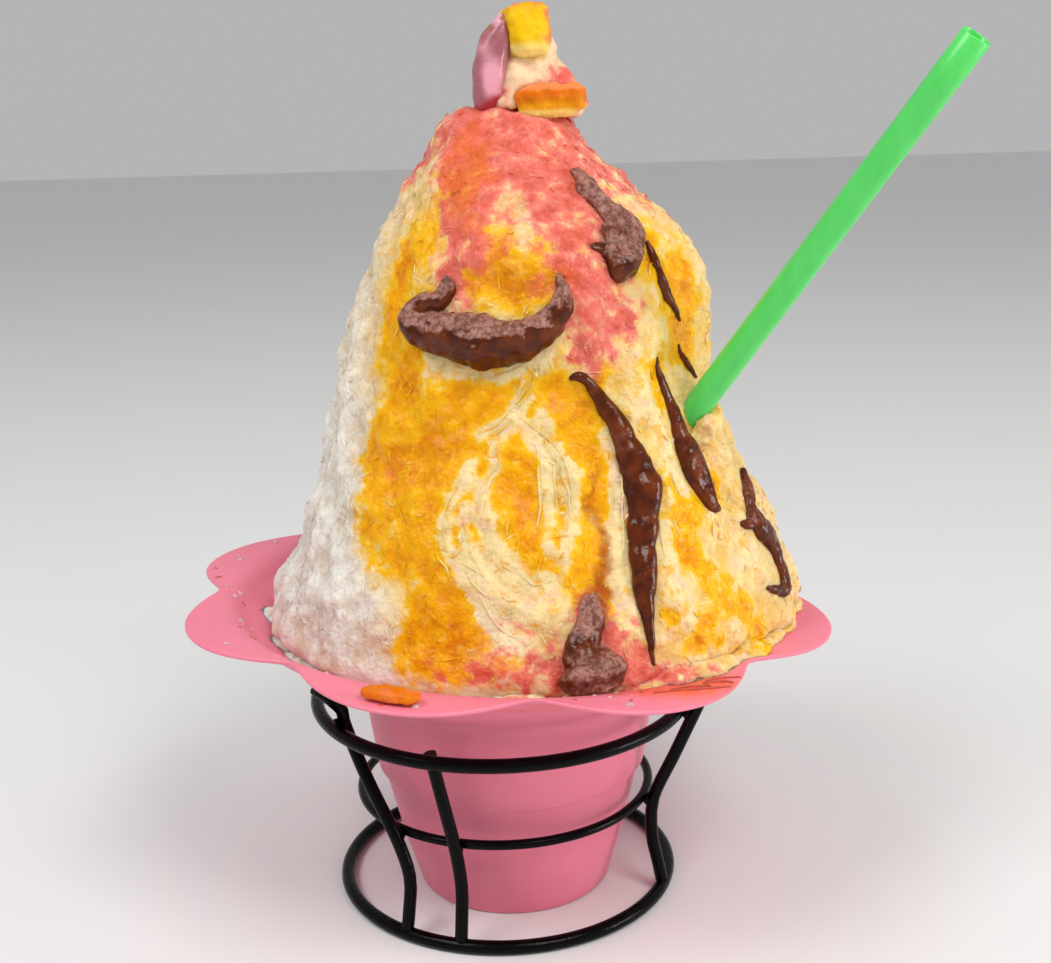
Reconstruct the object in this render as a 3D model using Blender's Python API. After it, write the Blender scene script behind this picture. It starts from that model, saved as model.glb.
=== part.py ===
"""A tall shaved ice dessert in a petal-rimmed plastic cup, which stands inside a wire holder, with a straw in it.

The brim, and all that stands on it, leans a little to the right. Those pieces are laid out upright, then leaned over.

The origin is the middle of the part's footprint, on the surface it stands on. +Z is up and -Y is the front.
Sizes are in millimetres, and MM turns them into Blender's metres. Until the last step, x and y run from the cup's axis.
"""

import math

import bmesh
import bpy
from mathutils import Matrix, Vector, noise
from mathutils.bvhtree import BVHTree

MM = 0.001
GAP = 0.3  # clearance between pieces that touch

# Cup: a tapered body with a stacking step, a conical flare, and a brim of eight petals.
RIM_Z = 77.0
WALL = 1.0
BASE_R = 25.5
BASE_ROUND = 1.2
STEP_Z = 32.5
STEP_R = 33.6
STEP_DEPTH = 1.4
SHOULDER_Z = 45.0
SHOULDER_R = 36.6
THROAT_Z = 54.5
THROAT_R = 37.8
LIP_R = 70.5
PETAL_R = 82.5
PETALS = 8
PETAL_TURN = math.radians(27.3)
NOTCH_SHARE = 0.115
NOTCH_LIFT = 1.0
LEAN = math.radians(3.15)
CUP_SECTIONS = 48

# Ice: half-widths to the left and right of the cup's axis, at heights above the rim.
ICE_OUTLINE = (
    (-8.0, 61.5, 77.5),
    (2.0, 58.5, 76.0),
    (14.0, 53.0, 70.5),
    (26.0, 49.5, 64.0),
    (38.0, 47.0, 57.0),
    (50.0, 43.5, 52.0),
    (62.0, 42.5, 49.5),
    (75.0, 38.0, 46.5),
    (86.0, 35.0, 44.5),
    (95.0, 31.0, 39.5),
    (103.0, 26.5, 30.0),
    (111.0, 23.0, 18.5),
    (117.0, 20.5, 16.0),
    (120.0, 17.0, 14.6),
)
ICE_TOP_Z = 123.6
ICE_DEPTH_SHARE = 0.93
ICE_SECTIONS = 40
ICE_ROW_STEP = 6.6
FLARE_ROWS = 6
FLARE_GAP = 1.3
FOOT_GAP = 0.5

# Lumps on the ice: (azimuth in degrees, height above the rim, half-width, half-height, bulge).
ICE_LUMPS = (
    (268.0, 92.0, 22.0, 19.0, 5.0),
    (262.0, 58.0, 26.0, 9.0, -3.0),
    (300.0, 40.0, 9.0, 38.0, 2.5),
    (286.0, 30.0, 7.0, 26.0, -2.0),
    (332.0, 84.0, 14.0, 16.0, 3.0),
    (318.0, 72.0, 7.0, 26.0, -2.5),
    (232.0, 20.0, 18.0, 14.0, 2.5),
    (250.0, 30.0, 10.0, 20.0, 2.0),
    (345.0, 26.0, 16.0, 16.0, 2.5),
    (75.0, 60.0, 24.0, 22.0, 4.0),
    (120.0, 28.0, 20.0, 18.0, -3.0),
    (150.0, 70.0, 16.0, 24.0, 2.5),
    (40.0, 24.0, 22.0, 18.0, 3.0),
)
RIPPLE_SIZE = 17.0
RIPPLE_DEPTH = 1.6

# Chocolate sauce: stations of (azimuth in degrees, height above the rim, width, thickness).
CHOCOLATE = {
    "sauce_curl": (
        (236.0, 82.5, 4.0, 2.0),
        (234.5, 76.5, 7.5, 3.2),
        (243.0, 72.0, 8.5, 4.2),
        (253.5, 70.2, 9.2, 4.6),
        (263.0, 70.0, 8.8, 4.6),
        (270.5, 72.0, 7.6, 4.0),
        (275.8, 76.5, 6.0, 3.0),
        (279.2, 82.5, 3.0, 1.8),
    ),
    "sauce_ridge": (
        (300.5, 107.0, 3.6, 1.8),
        (300.0, 102.0, 5.8, 2.8),
        (301.5, 97.4, 7.6, 3.6),
        (299.5, 92.9, 9.6, 3.8),
        (296.0, 88.4, 6.0, 2.4),
    ),
    "sauce_long": (
        (291.0, 59.5, 2.6, 1.8),
        (294.0, 53.8, 4.6, 2.6),
        (297.4, 46.7, 6.2, 3.4),
        (299.0, 39.9, 7.4, 4.0),
        (297.0, 31.6, 6.2, 3.6),
        (293.4, 23.0, 5.0, 2.8),
        (291.8, 16.1, 3.6, 2.2),
        (291.8, 9.5, 2.4, 1.6),
    ),
    "sauce_short": (
        (311.0, 62.0, 2.6, 1.8),
        (313.5, 54.6, 4.0, 2.6),
        (316.0, 47.6, 5.4, 3.2),
        (316.8, 41.0, 5.8, 3.4),
        (318.4, 35.0, 4.0, 2.4),
    ),
    "sauce_edge": (
        (340.0, 37.5, 2.4, 1.8),
        (336.5, 32.0, 4.0, 2.8),
        (335.5, 26.5, 5.4, 3.4),
        (336.0, 20.5, 6.2, 3.4),
        (336.0, 14.5, 4.6, 2.8),
        (335.6, 11.0, 3.0, 2.0),
    ),
    "sauce_foot": (
        (279.0, 16.5, 4.4, 2.6),
        (277.6, 11.0, 8.0, 4.6),
        (278.4, 6.0, 10.0, 5.6),
        (280.0, 2.2, 12.5, 5.4),
    ),
}
SAUCE_STEP = 3.6
SAUCE_GAP = 0.55

# Wire holder: three rings and the struts that join them.
WIRE = 3.5
WAIST_WIRE = 2.4
STRUT_WIRE = 3.2
HOLDER_X = -1.9
UPPER_RING_R = 48.1
UPPER_RING_Z = 51.8
WAIST_RING_R = 37.9
WAIST_RING_Z = 26.3
FOOT_RING_R = 43.0
RING_SECTIONS = 34

# Struts: (azimuth at the upper ring, azimuth at the waist ring, 1 outside the upper ring or -1 inside it, hooked).
STRUTS = (
    (339.0, 339.0, 1, False),
    (40.0, 40.0, 1, False),
    (112.0, 112.0, -1, False),
    (208.0, 229.0, -1, True),
    (248.0, 253.5, -1, False),
)
STRUT_TOPS = {1: 4.0, -1: 0.4}
# A hooked strut goes on over the upper ring: (outwards, upwards) from where it passes the ring.
STRUT_HOOK = ((7.1, 10.6), (3.2, 6.8), (0.4, 3.2))

# Straw
STRAW_R = 3.25
STRAW_WALL = 0.35
STRAW_ENTRY = Vector((42.4, -24.0, 131.0))
STRAW_LEAN = Vector((0.457, -0.352, 0.817)).normalized()
STRAW_ABOVE = 102.0
STRAW_INSIDE = 38.0

# Toppings: (centre, half-sizes, turn about z and then lean in degrees, squareness of 2 for round and more for boxy,
# how far the upper end bows to the right).
TOPPINGS = {
    "jelly": ((-6.9, -7.8, 208.0), (3.6, 4.2, 11.7), (0.0, 4.0), 3.0, 3.4),
    "mango_top": ((1.2, -7.2, 216.0), (5.0, 5.0, 5.7), (24.0, -14.0), 4.0, 0.0),
    "mango_slab": ((7.2, -10.6, 200.6), (8.0, 2.9, 3.6), (2.0, -6.0), 4.0, 0.0),
    "mango_on_brim": ((-23.4, -74.2, 79.75), (6.6, 2.7, 1.4), (-17.0, 0.0), 3.4, 0.0),
}

# Cream: rows of (left, right, half-depth, middle from front to back, height above the rim).
CREAM_ROWS = (
    (-10.0, 14.4, 9.2, -1.5, 120.9),
    (-10.4, 15.8, 10.0, -1.5, 123.2),
    (-9.6, 13.6, 9.2, -1.3, 127.0),
    (-8.6, 11.2, 8.4, -1.0, 130.0),
    (-7.4, 8.4, 7.6, -1.0, 133.0),
    (-6.6, 6.7, 7.0, -1.6, 136.5),
    (-5.6, 4.8, 5.8, -2.4, 140.0),
    (-3.6, 2.8, 3.6, -2.4, 142.4),
)
CREAM_SECTIONS = 12


def clear_scene():
    for obj in list(bpy.data.objects):
        bpy.data.objects.remove(obj, do_unlink=True)


def material(name, colour, roughness, metallic=0.0):
    made = bpy.data.materials.new(name)
    made.use_nodes = True
    shader = made.node_tree.nodes["Principled BSDF"]
    shader.inputs["Base Color"].default_value = (*colour, 1.0)
    shader.inputs["Roughness"].default_value = roughness
    shader.inputs["Metallic"].default_value = metallic
    made.diffuse_color = (*colour, 1.0)
    return made


def mesh_object(name, points, faces, finish, helper=False):
    """An object from points in millimetres, shaded smooth, with its faces turned outwards."""
    mesh = bpy.data.meshes.new(name)
    mesh.from_pydata([Vector(p) * MM for p in points], [], faces)
    shape = bmesh.new()
    shape.from_mesh(mesh)
    bmesh.ops.recalc_face_normals(shape, faces=shape.faces)
    shape.to_mesh(mesh)
    shape.free()
    mesh.shade_smooth()
    mesh.set_sharp_from_angle(angle=math.radians(50))
    mesh.materials.append(finish)
    obj = bpy.data.objects.new(name, mesh)
    bpy.context.scene.collection.objects.link(obj)
    if helper:
        obj.hide_render = True
        obj.display_type = "WIRE"
    return obj


def skinned_rows(rows, closed=False):
    """Points and faces of a skin over rows of equal length: a closed loop of rows, or a tube with capped ends."""
    count = len(rows[0])
    points = [p for row in rows for p in row]
    faces = []
    spans = len(rows) if closed else len(rows) - 1
    for i in range(spans):
        a = i * count
        b = (i + 1) % len(rows) * count
        for k in range(count):
            n = (k + 1) % count
            faces.append((a + k, a + n, b + n, b + k))
    if not closed:
        faces.append(tuple(range(count)))
        faces.append(tuple((len(rows) - 1) * count + k for k in range(count)))
    return points, faces


def curve_between(low, high, pull_low, pull_high, share):
    """A cubic from low to high whose slopes at its ends are the two pulls."""
    t = share
    return (
        (2 * t**3 - 3 * t**2 + 1) * low
        + (t**3 - 2 * t**2 + t) * pull_low
        + (3 * t**2 - 2 * t**3) * high
        + (t**3 - t**2) * pull_high
    )


def smooth_path(stations, step):
    """Stations every step or so along a smooth curve through the given ones."""
    found = []
    for i in range(len(stations) - 1):
        before = stations[max(0, i - 1)]
        low, high = stations[i], stations[i + 1]
        after = stations[min(len(stations) - 1, i + 2)]
        count = max(1, round(math.dist(low, high) / step))
        for k in range(count):
            found.append(
                tuple(
                    curve_between(b, c, (c - a) / 2, (d - b) / 2, k / count)
                    for a, b, c, d in zip(before, low, high, after)
                )
            )
    return [*found, tuple(stations[-1])]


def lean(p):
    """A point of the upright layout, turned about the middle of the rim to where it stands."""
    rise = p[2] - RIM_Z
    x = p[0] * math.cos(LEAN) + rise * math.sin(LEAN)
    return Vector((x, p[1], RIM_Z + rise * math.cos(LEAN) - p[0] * math.sin(LEAN)))


def settle(p):
    """A point of the cup as it stands: its body is upright, its brim leans, and its flare bends from one to the other."""
    share = min(1.0, max(0.0, (p[2] - THROAT_Z) / (RIM_Z - THROAT_Z)))
    return Vector(p).lerp(lean(p), share)


# ---------------------------------------------------------------- cup


def cup_profile():
    """The outside of the cup from its base to the lip, as (radius, height)."""
    return [
        (BASE_R - BASE_ROUND, 0.0),
        (BASE_R, BASE_ROUND),
        (29.4, 14.5),
        (STEP_R, STEP_Z),
        (STEP_R + STEP_DEPTH, STEP_Z + STEP_DEPTH),
        (SHOULDER_R, SHOULDER_Z),
        (THROAT_R, THROAT_Z),
        (41.0, 58.2),
        (50.0, 64.0),
        (60.0, 69.6),
        (66.0, 73.2),
        (68.8, 75.8),
        (LIP_R, RIM_Z),
    ]


def inset_profile(depth):
    """The cup's outside moved square to itself, towards the inside of the cup."""
    profile = cup_profile()
    last = len(profile) - 1
    found = []
    for i, (r, z) in enumerate(profile):
        before = profile[max(0, i - 1)]
        after = profile[min(last, i + 1)]
        along = Vector((after[0] - before[0], after[1] - before[1])).normalized()
        if i == 0:
            along = Vector((1.0, 0.7)).normalized()
        if i == last:
            along = Vector((1.0, 0.0))
        found.append((r - along.y * depth, z + along.x * depth))
    return found


def petal_share(angle):
    """1 in the middle of a petal, 0 in the notch between two."""
    return abs(math.cos(PETALS / 2 * (angle - PETAL_TURN)))


def petal_edge(angle):
    return PETAL_R * (1 - NOTCH_SHARE * (1 - petal_share(angle)) ** 1.1)


def brim_lift(angle, share):
    """How far the brim stands above the rim's plane, at a share of the way from the lip to the petal's edge."""
    return share * NOTCH_LIFT * (1 - petal_share(angle))


def round_row(radius, height, angles):
    return [(radius * math.cos(a), radius * math.sin(a), height) for a in angles]


def brim_row(share, rise, angles):
    found = []
    for a in angles:
        r = LIP_R + share * (petal_edge(a) - LIP_R)
        found.append((r * math.cos(a), r * math.sin(a), RIM_Z + rise + brim_lift(a, share)))
    return found


def make_cup(finish):
    angles = [PETAL_TURN + 2 * math.pi * k / CUP_SECTIONS for k in range(CUP_SECTIONS)]
    rows = [round_row(r, z, angles) for r, z in cup_profile()]
    rows += [brim_row(0.93, 0.0, angles), brim_row(1.0, WALL / 2, angles), brim_row(0.93, WALL, angles)]
    rows += [round_row(r, z, angles) for r, z in reversed(inset_profile(WALL))]
    points, faces = skinned_rows([[settle(p) for p in row] for row in rows])
    return mesh_object("cup", points, faces, finish)


def bowl_height(x, y):
    """The height of the cup's upper surface over a point of the ground plan."""
    profile = inset_profile(WALL)
    spot = Vector((x, y, RIM_Z))
    for _ in range(3):
        radius = math.hypot(spot.x, spot.y)
        angle = math.atan2(spot.y, spot.x)
        if radius >= LIP_R:
            share = (radius - LIP_R) / (petal_edge(angle) - LIP_R)
            spot.z = RIM_Z + WALL + brim_lift(angle, min(1.0, share))
        else:
            (r0, z0), (r1, z1) = next(pair for pair in zip(profile[1:], profile[2:]) if radius <= pair[1][0])
            spot.z = z0 + (z1 - z0) * (radius - r0) / (r1 - r0)
        spot.x += x - settle(spot).x
    return settle(spot).z


# ---------------------------------------------------------------- ice


def outline_at(height):
    """(left, right) half-widths of the ice at a height above the rim, on a smooth line through ICE_OUTLINE."""
    rows = ICE_OUTLINE
    if height <= rows[0][0]:
        return rows[0][1:]
    if height >= rows[-1][0]:
        share = (ICE_TOP_Z - height) / (ICE_TOP_Z - rows[-1][0])
        round_off = math.sqrt(max(0.0, share))
        return rows[-1][1] * round_off, rows[-1][2] * round_off
    k = max(i for i in range(len(rows) - 1) if rows[i][0] <= height)
    before, low, high, after = rows[max(0, k - 1)], rows[k], rows[k + 1], rows[min(len(rows) - 1, k + 2)]
    span = high[0] - low[0]
    share = (height - low[0]) / span
    found = []
    for side in (1, 2):
        pull_low = (high[side] - before[side]) / (high[0] - before[0]) * span
        pull_high = (after[side] - low[side]) / (after[0] - low[0]) * span
        found.append(curve_between(low[side], high[side], pull_low, pull_high, share))
    return tuple(found)


def lump_bulge(angle, height, size):
    total = 0.0
    for azimuth, lump_height, half_width, half_height, bulge in ICE_LUMPS:
        turn = (angle - math.radians(azimuth) + math.pi) % (2 * math.pi) - math.pi
        across = turn * size / half_width
        up = (height - lump_height) / half_height
        total += bulge * math.exp(-(across**2) - up**2)
    return total


def ice_point(angle, height):
    """A point on the upright ice, at an azimuth seen from its own middle and a height above the rim."""
    left, right = outline_at(height)
    middle = (right - left) / 2
    size = (right + left) / 2
    direction = Vector((math.cos(angle), math.sin(angle), 0.0))
    spot = Vector((middle, 0.0, height)) + direction * size
    bulge = lump_bulge(angle, height, max(size, 8.0)) + RIPPLE_DEPTH * noise.noise(spot / RIPPLE_SIZE)
    reach = size + bulge * min(1.0, size / 15.0)
    return Vector((middle + reach * direction.x, reach * ICE_DEPTH_SHARE * direction.y, RIM_Z + height))


def ice_foot(angle):
    """The height above the rim where the ice meets the cup, found by halving."""
    low, high = -20.0, 6.0
    for _ in range(24):
        middle = (low + high) / 2
        p = lean(ice_point(angle, middle))
        if p.z - FOOT_GAP > bowl_height(p.x, p.y):
            high = middle
        else:
            low = middle
    return high


def ice_rows():
    angles = [2 * math.pi * k / ICE_SECTIONS for k in range(ICE_SECTIONS)]
    feet = [ice_foot(a) for a in angles]
    top = ICE_TOP_Z - 0.2
    levels = round((ICE_TOP_Z + 4.0) / ICE_ROW_STEP)
    rows = []
    for i in range(levels):
        row = [ice_point(a, foot + (ICE_OUTLINE[-1][0] - foot) * i / (levels - 1)) for a, foot in zip(angles, feet)]
        rows.append(row)
    rows.append([ice_point(a, (ICE_OUTLINE[-1][0] + top) / 2 + 0.8) for a in angles])
    rows.append([ice_point(a, top) for a in angles])
    return rows


def along_flare(reach):
    """Points (radius, height) from the throat of the cup along its flare to a radius, clear of the plastic."""
    profile = [p for p in inset_profile(WALL + FLARE_GAP) if p[1] > THROAT_Z - 1.0]
    line = []
    for (r0, z0), (r1, z1) in zip(profile, profile[1:]):
        steps = 12
        line += [(r0 + (r1 - r0) * k / steps, z0 + (z1 - z0) * k / steps) for k in range(steps)]
    line = [p for p in [*line, profile[-1]] if p[0] < reach]
    last = FLARE_ROWS - 1 if reach > LIP_R - 4.0 else FLARE_ROWS
    return [line[round(i * (len(line) - 1) / last)] for i in range(FLARE_ROWS)]


def under_ice_rows(first_row):
    """Rows from the bottom of the cup's inside up to the foot of the ice."""
    angles = [math.atan2(p[1], p[0]) for p in first_row]
    body = [p for p in inset_profile(WALL + GAP) if p[1] < THROAT_Z - 1.0]
    rows = [round_row(r, z, angles) for r, z in body]
    lines = [along_flare(math.hypot(p[0], p[1])) for p in first_row]
    for i in range(FLARE_ROWS):
        flare = [line[i] for line in lines]
        rows.append([settle((r * math.cos(a), r * math.sin(a), z)) for a, (r, z) in zip(angles, flare)])
    return rows


def straw_rows(radius, low, high, count):
    """Two rings of points around the straw's centre line, at distances along it from where it enters the ice."""
    across = STRAW_LEAN.orthogonal().normalized()
    other = STRAW_LEAN.cross(across)
    rows = []
    for reach in (low, high):
        middle = STRAW_ENTRY + STRAW_LEAN * reach
        turns = [2 * math.pi * k / count for k in range(count)]
        rows.append([lean(middle + radius * (across * math.cos(t) + other * math.sin(t))) for t in turns])
    return rows


def make_ice(finish):
    rows = [[lean(p) for p in row] for row in ice_rows()]
    points, faces = skinned_rows(under_ice_rows(rows[0]) + rows)
    ice = mesh_object("ice", points, faces, finish)
    points, faces = skinned_rows(straw_rows(STRAW_R + GAP + 0.1, -STRAW_INSIDE - GAP, 30.0, 14))
    bore = mesh_object("straw_bore", points, faces, finish, helper=True)
    cut_out(ice, bore)
    for name in ("jelly", "mango_slab"):
        cut_out(ice, make_topping(f"{name}_bed", *TOPPINGS[name], finish, grow=GAP))
    return ice


def make_straw(finish):
    outer = straw_rows(STRAW_R, -STRAW_INSIDE, STRAW_ABOVE, 14)
    inner = straw_rows(STRAW_R - STRAW_WALL, STRAW_ABOVE, -STRAW_INSIDE, 14)
    points, faces = skinned_rows(outer + inner, closed=True)
    return mesh_object("straw", points, faces, finish)


# ---------------------------------------------------------------- sauce


def onto(tree, outside, inside):
    """The first point of a surface on the way in from a point outside it, and that way, in millimetres."""
    outside = lean(outside)
    inside = lean(inside)
    way = (inside - outside).normalized()
    hit = tree.ray_cast(outside * MM, way)[0]
    return (hit / MM if hit else inside), way


def make_sauce(name, stations, tree, finish):
    """A domed ribbon of sauce that follows the surface of the ice."""
    path = smooth_path([(math.radians(a) * 45.0, h, w, t) for a, h, w, t in stations], SAUCE_STEP)
    spine = [ice_point(a / 45.0, h) for a, h, w, t in path]
    rows = []
    for i, (a, h, width, thick) in enumerate(path):
        along = (spine[min(len(spine) - 1, i + 1)] - spine[max(0, i - 1)]).normalized()
        axis = Vector((ice_point(0.0, h).x / 2 + ice_point(math.pi, h).x / 2, 0.0, spine[i].z))
        out = (spine[i] - axis).normalized()
        side = out.cross(along).normalized()
        bottom = []
        top = []
        for share in (-0.5, 0.0, 0.5):
            foot = spine[i] + side * width * share * 0.86
            hit, way = onto(tree, foot + out * 12.0, foot - out * 12.0)
            bottom.append(hit - way * SAUCE_GAP)
        for share, rise in ((0.5, 0.42), (0.28, 0.9), (-0.28, 0.9), (-0.5, 0.42)):
            foot = spine[i] + side * width * share
            hit, way = onto(tree, foot + out * 12.0, foot - out * 12.0)
            top.append(hit - way * (SAUCE_GAP + thick * rise))
        rows.append([*bottom, *top])
    points, faces = skinned_rows(rows)
    return mesh_object(name, points, faces, finish)


# ---------------------------------------------------------------- toppings


def make_topping(name, centre, half, turns, square, bow, finish, grow=0.0):
    """A rounded lump: a ball stretched to its half-sizes, made boxier by a higher squareness, and bowed."""
    ball = bmesh.new()
    bmesh.ops.create_icosphere(ball, subdivisions=3 if square > 3.6 else 2, radius=1.0)
    turn = Matrix.Rotation(math.radians(turns[0]), 3, "Z") @ Matrix.Rotation(math.radians(turns[1]), 3, "Y")
    points = []
    for v in ball.verts:
        reach = sum(abs(c) ** square for c in v.co) ** (-1 / square)
        shaped = Vector(c * reach * (h + grow) for c, h in zip(v.co, half))
        shaped *= 1 + 0.05 * noise.noise(shaped / 4.0 + Vector(centre))
        shaped.x += bow * max(0.0, shaped.z / half[2]) ** 2
        points.append(lean(Vector(centre) + turn @ shaped))
    faces = [tuple(v.index for v in f.verts) for f in ball.faces]
    ball.free()
    return mesh_object(name, points, faces, finish, helper=grow > 0.0)


def cut_out(obj, cutter):
    cut = obj.modifiers.new(cutter.name, "BOOLEAN")
    cut.operation = "DIFFERENCE"
    cut.solver = "EXACT"
    cut.object = cutter


def make_cream(finish):
    rows = []
    for left, right, depth, y, height in CREAM_ROWS:
        middle = (left + right) / 2
        half = (right - left) / 2
        row = []
        for k in range(CREAM_SECTIONS):
            angle = 2 * math.pi * k / CREAM_SECTIONS
            p = Vector((middle + half * math.cos(angle), y + depth * math.sin(angle), RIM_Z + height))
            row.append(p)
        rows.append(row)
    points, faces = skinned_rows(rows)
    cream = mesh_object("cream", [lean(p) for p in points], faces, finish)
    cap = [[lean(p + Vector((0.0, 0.0, GAP + 0.1))) for p in row] for row in ice_rows()[-3:]]
    points, faces = skinned_rows([[p - Vector((0.0, 0.0, 12.0)) for p in cap[0]], *cap])
    cut_out(cream, mesh_object("ice_top", points, faces, finish, helper=True))
    for name in ("jelly", "mango_top", "mango_slab"):
        cut_out(cream, make_topping(f"{name}_seat", *TOPPINGS[name], finish, grow=GAP))
    return cream


# ---------------------------------------------------------------- holder


def make_ring(name, radius, height, wire, finish):
    """A closed ring of wire with a six-sided section that has a flat underneath."""
    sides = 6
    rows = []
    for k in range(RING_SECTIONS):
        angle = 2 * math.pi * k / RING_SECTIONS
        row = []
        for s in range(sides):
            turn = 2 * math.pi * s / sides
            reach = wire / 2 / math.cos(math.pi / sides)
            r = radius + reach * math.cos(turn)
            row.append((HOLDER_X + r * math.cos(angle), r * math.sin(angle), height + reach * math.sin(turn)))
        rows.append(row)
    points, faces = skinned_rows(rows, closed=True)
    return mesh_object(name, points, faces, finish)


def make_strut(name, top_azimuth, waist_azimuth, side, hooked, finish):
    """A strut from the upper ring, down past the outside of the waist ring, and out to the foot ring."""
    top = UPPER_RING_R + side * (WIRE / 2 + STRUT_WIRE / 2 + 2 * GAP)
    waist = WAIST_RING_R + WAIST_WIRE / 2 + STRUT_WIRE / 2 + GAP
    drop = UPPER_RING_Z - WAIST_RING_Z
    turned = waist_azimuth - top_azimuth
    rise = STRUT_TOPS[side]
    spine = [(top + out, UPPER_RING_Z + up, top_azimuth) for out, up in STRUT_HOOK] if hooked else []
    spine += [
        (top + (top - waist) * rise / drop, UPPER_RING_Z + rise, top_azimuth - turned * rise / drop),
        ((top + waist) / 2, UPPER_RING_Z - drop / 2, (top_azimuth + waist_azimuth) / 2),
        (waist, WAIST_RING_Z, waist_azimuth),
        (waist - 0.6, 16.0, waist_azimuth + turned * 0.25),
        (FOOT_RING_R - 1.0, 8.0, waist_azimuth + turned * 0.3),
        (FOOT_RING_R, WIRE + GAP, waist_azimuth + turned * 0.3),
    ]
    line = []
    for r, z, azimuth in spine:
        angle = math.radians(azimuth)
        line.append(Vector((HOLDER_X + r * math.cos(angle), r * math.sin(angle), z)))
    rows = []
    for i, middle in enumerate(line):
        along = (line[min(len(line) - 1, i + 1)] - line[max(0, i - 1)]).normalized()
        if i == len(line) - 1:
            along = Vector((0.0, 0.0, -1.0))
        out = Vector((middle.x - HOLDER_X, middle.y, 0.0))
        sideways = along.cross(out).normalized()
        out = sideways.cross(along).normalized()
        turns = [2 * math.pi * k / 6 for k in range(6)]
        rows.append([middle + STRUT_WIRE / 2 * (out * math.cos(t) + sideways * math.sin(t)) for t in turns])
    points, faces = skinned_rows(rows)
    return mesh_object(name, points, faces, finish)


def centre_on_footprint():
    """Moves everything so that the middle of the whole part, seen from above, is at x = y = 0."""
    bpy.context.view_layer.update()
    corners = [obj.matrix_world @ Vector(c) for obj in bpy.data.objects if not obj.hide_render for c in obj.bound_box]
    middle = Vector(((min(c.x for c in corners) + max(c.x for c in corners)) / 2, 0.0, 0.0))
    middle.y = (min(c.y for c in corners) + max(c.y for c in corners)) / 2
    for obj in bpy.data.objects:
        obj.location -= middle


def main():
    clear_scene()
    pink = material("pink_plastic", (0.85, 0.22, 0.36), 0.35)
    snow = material("syrup_snow", (0.93, 0.68, 0.3), 0.6)
    chocolate = material("chocolate", (0.12, 0.035, 0.015), 0.3)
    mango = material("mango", (0.9, 0.5, 0.03), 0.35)
    jelly = material("pink_jelly", (0.72, 0.3, 0.42), 0.2)
    cream = material("cream", (0.93, 0.78, 0.62), 0.5)
    green = material("green_plastic", (0.06, 0.6, 0.12), 0.35)
    black = material("black_wire", (0.012, 0.012, 0.012), 0.3)

    make_cup(pink)
    ice = make_ice(snow)
    tree = BVHTree.FromObject(ice, bpy.context.evaluated_depsgraph_get())
    for name, stations in CHOCOLATE.items():
        make_sauce(name, stations, tree, chocolate)
    make_straw(green)
    make_cream(cream)
    for name, shape in TOPPINGS.items():
        topping = make_topping(name, *shape, jelly if name == "jelly" else mango)
        if name == "jelly":
            cut_out(topping, make_topping("mango_side", *TOPPINGS["mango_top"], mango, grow=GAP))
    make_ring("upper_ring", UPPER_RING_R, UPPER_RING_Z, WIRE, black)
    make_ring("waist_ring", WAIST_RING_R, WAIST_RING_Z, WAIST_WIRE, black)
    make_ring("foot_ring", FOOT_RING_R, WIRE / 2, WIRE, black)
    for i, strut in enumerate(STRUTS):
        make_strut(f"strut_{i + 1}", *strut, black)
    centre_on_footprint()


main()
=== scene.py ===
"""The looks of a tall shaved ice dessert: snow soaked with syrups, chocolate sauce, a fruit tip, cup, straw and holder.

Lengths are in millimetres, and MM turns them into Blender's metres. The brim of the cup, and all that stands on it,
leans a little to the right. Those pieces are laid out upright, with x and y from the cup's axis, then leaned over.
A place on the ice is given as (azimuth in degrees seen from the ice's own middle, height above the rim).
"""

import math

import bmesh
import bpy
import numpy as np
from mathutils import Matrix, Vector, noise
from mathutils.bvhtree import BVHTree


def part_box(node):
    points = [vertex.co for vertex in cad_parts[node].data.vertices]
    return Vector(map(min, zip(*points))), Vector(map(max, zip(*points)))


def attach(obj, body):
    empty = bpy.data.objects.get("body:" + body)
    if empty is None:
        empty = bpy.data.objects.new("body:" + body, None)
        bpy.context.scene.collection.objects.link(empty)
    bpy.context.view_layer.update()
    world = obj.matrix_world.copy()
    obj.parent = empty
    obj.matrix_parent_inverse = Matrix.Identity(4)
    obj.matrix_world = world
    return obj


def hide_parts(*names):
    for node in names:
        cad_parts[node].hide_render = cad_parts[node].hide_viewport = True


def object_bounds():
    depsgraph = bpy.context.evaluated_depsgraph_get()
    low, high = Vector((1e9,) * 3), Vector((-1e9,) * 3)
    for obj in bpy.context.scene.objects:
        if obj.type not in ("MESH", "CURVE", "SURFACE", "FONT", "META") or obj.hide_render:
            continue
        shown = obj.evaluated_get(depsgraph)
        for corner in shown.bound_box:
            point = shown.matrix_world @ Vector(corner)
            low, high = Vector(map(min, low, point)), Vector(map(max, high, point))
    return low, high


MM = 0.001

# The cup's layout
RIM_Z = 77.0
WALL = 1.0
LEAN = math.radians(3.15)
THROAT_Z = 54.5
LIP_R = 70.5
PETAL_R = 82.5
PETALS = 8
PETAL_TURN = math.radians(27.3)
NOTCH_SHARE = 0.115
NOTCH_LIFT = 1.0
NOTCH_ROUND = 0.14
CUP_SECTIONS = 256
HOLDER_X = -1.9

# The cup's outside from its base to the lip, as (radius, height)
CUP_PROFILE = (
    (24.3, 0.0),
    (25.1, 0.35),
    (25.5, 1.2),
    (29.4, 14.5),
    (33.6, 32.5),
    (34.1, 32.8),
    (35.0, 33.9),
    (36.6, 45.0),
    (37.8, 54.5),
    (38.9, 56.6),
    (41.0, 58.2),
    (50.0, 64.0),
    (60.0, 69.6),
    (66.0, 73.2),
    (68.8, 75.8),
    (70.5, 77.0),
)

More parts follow.
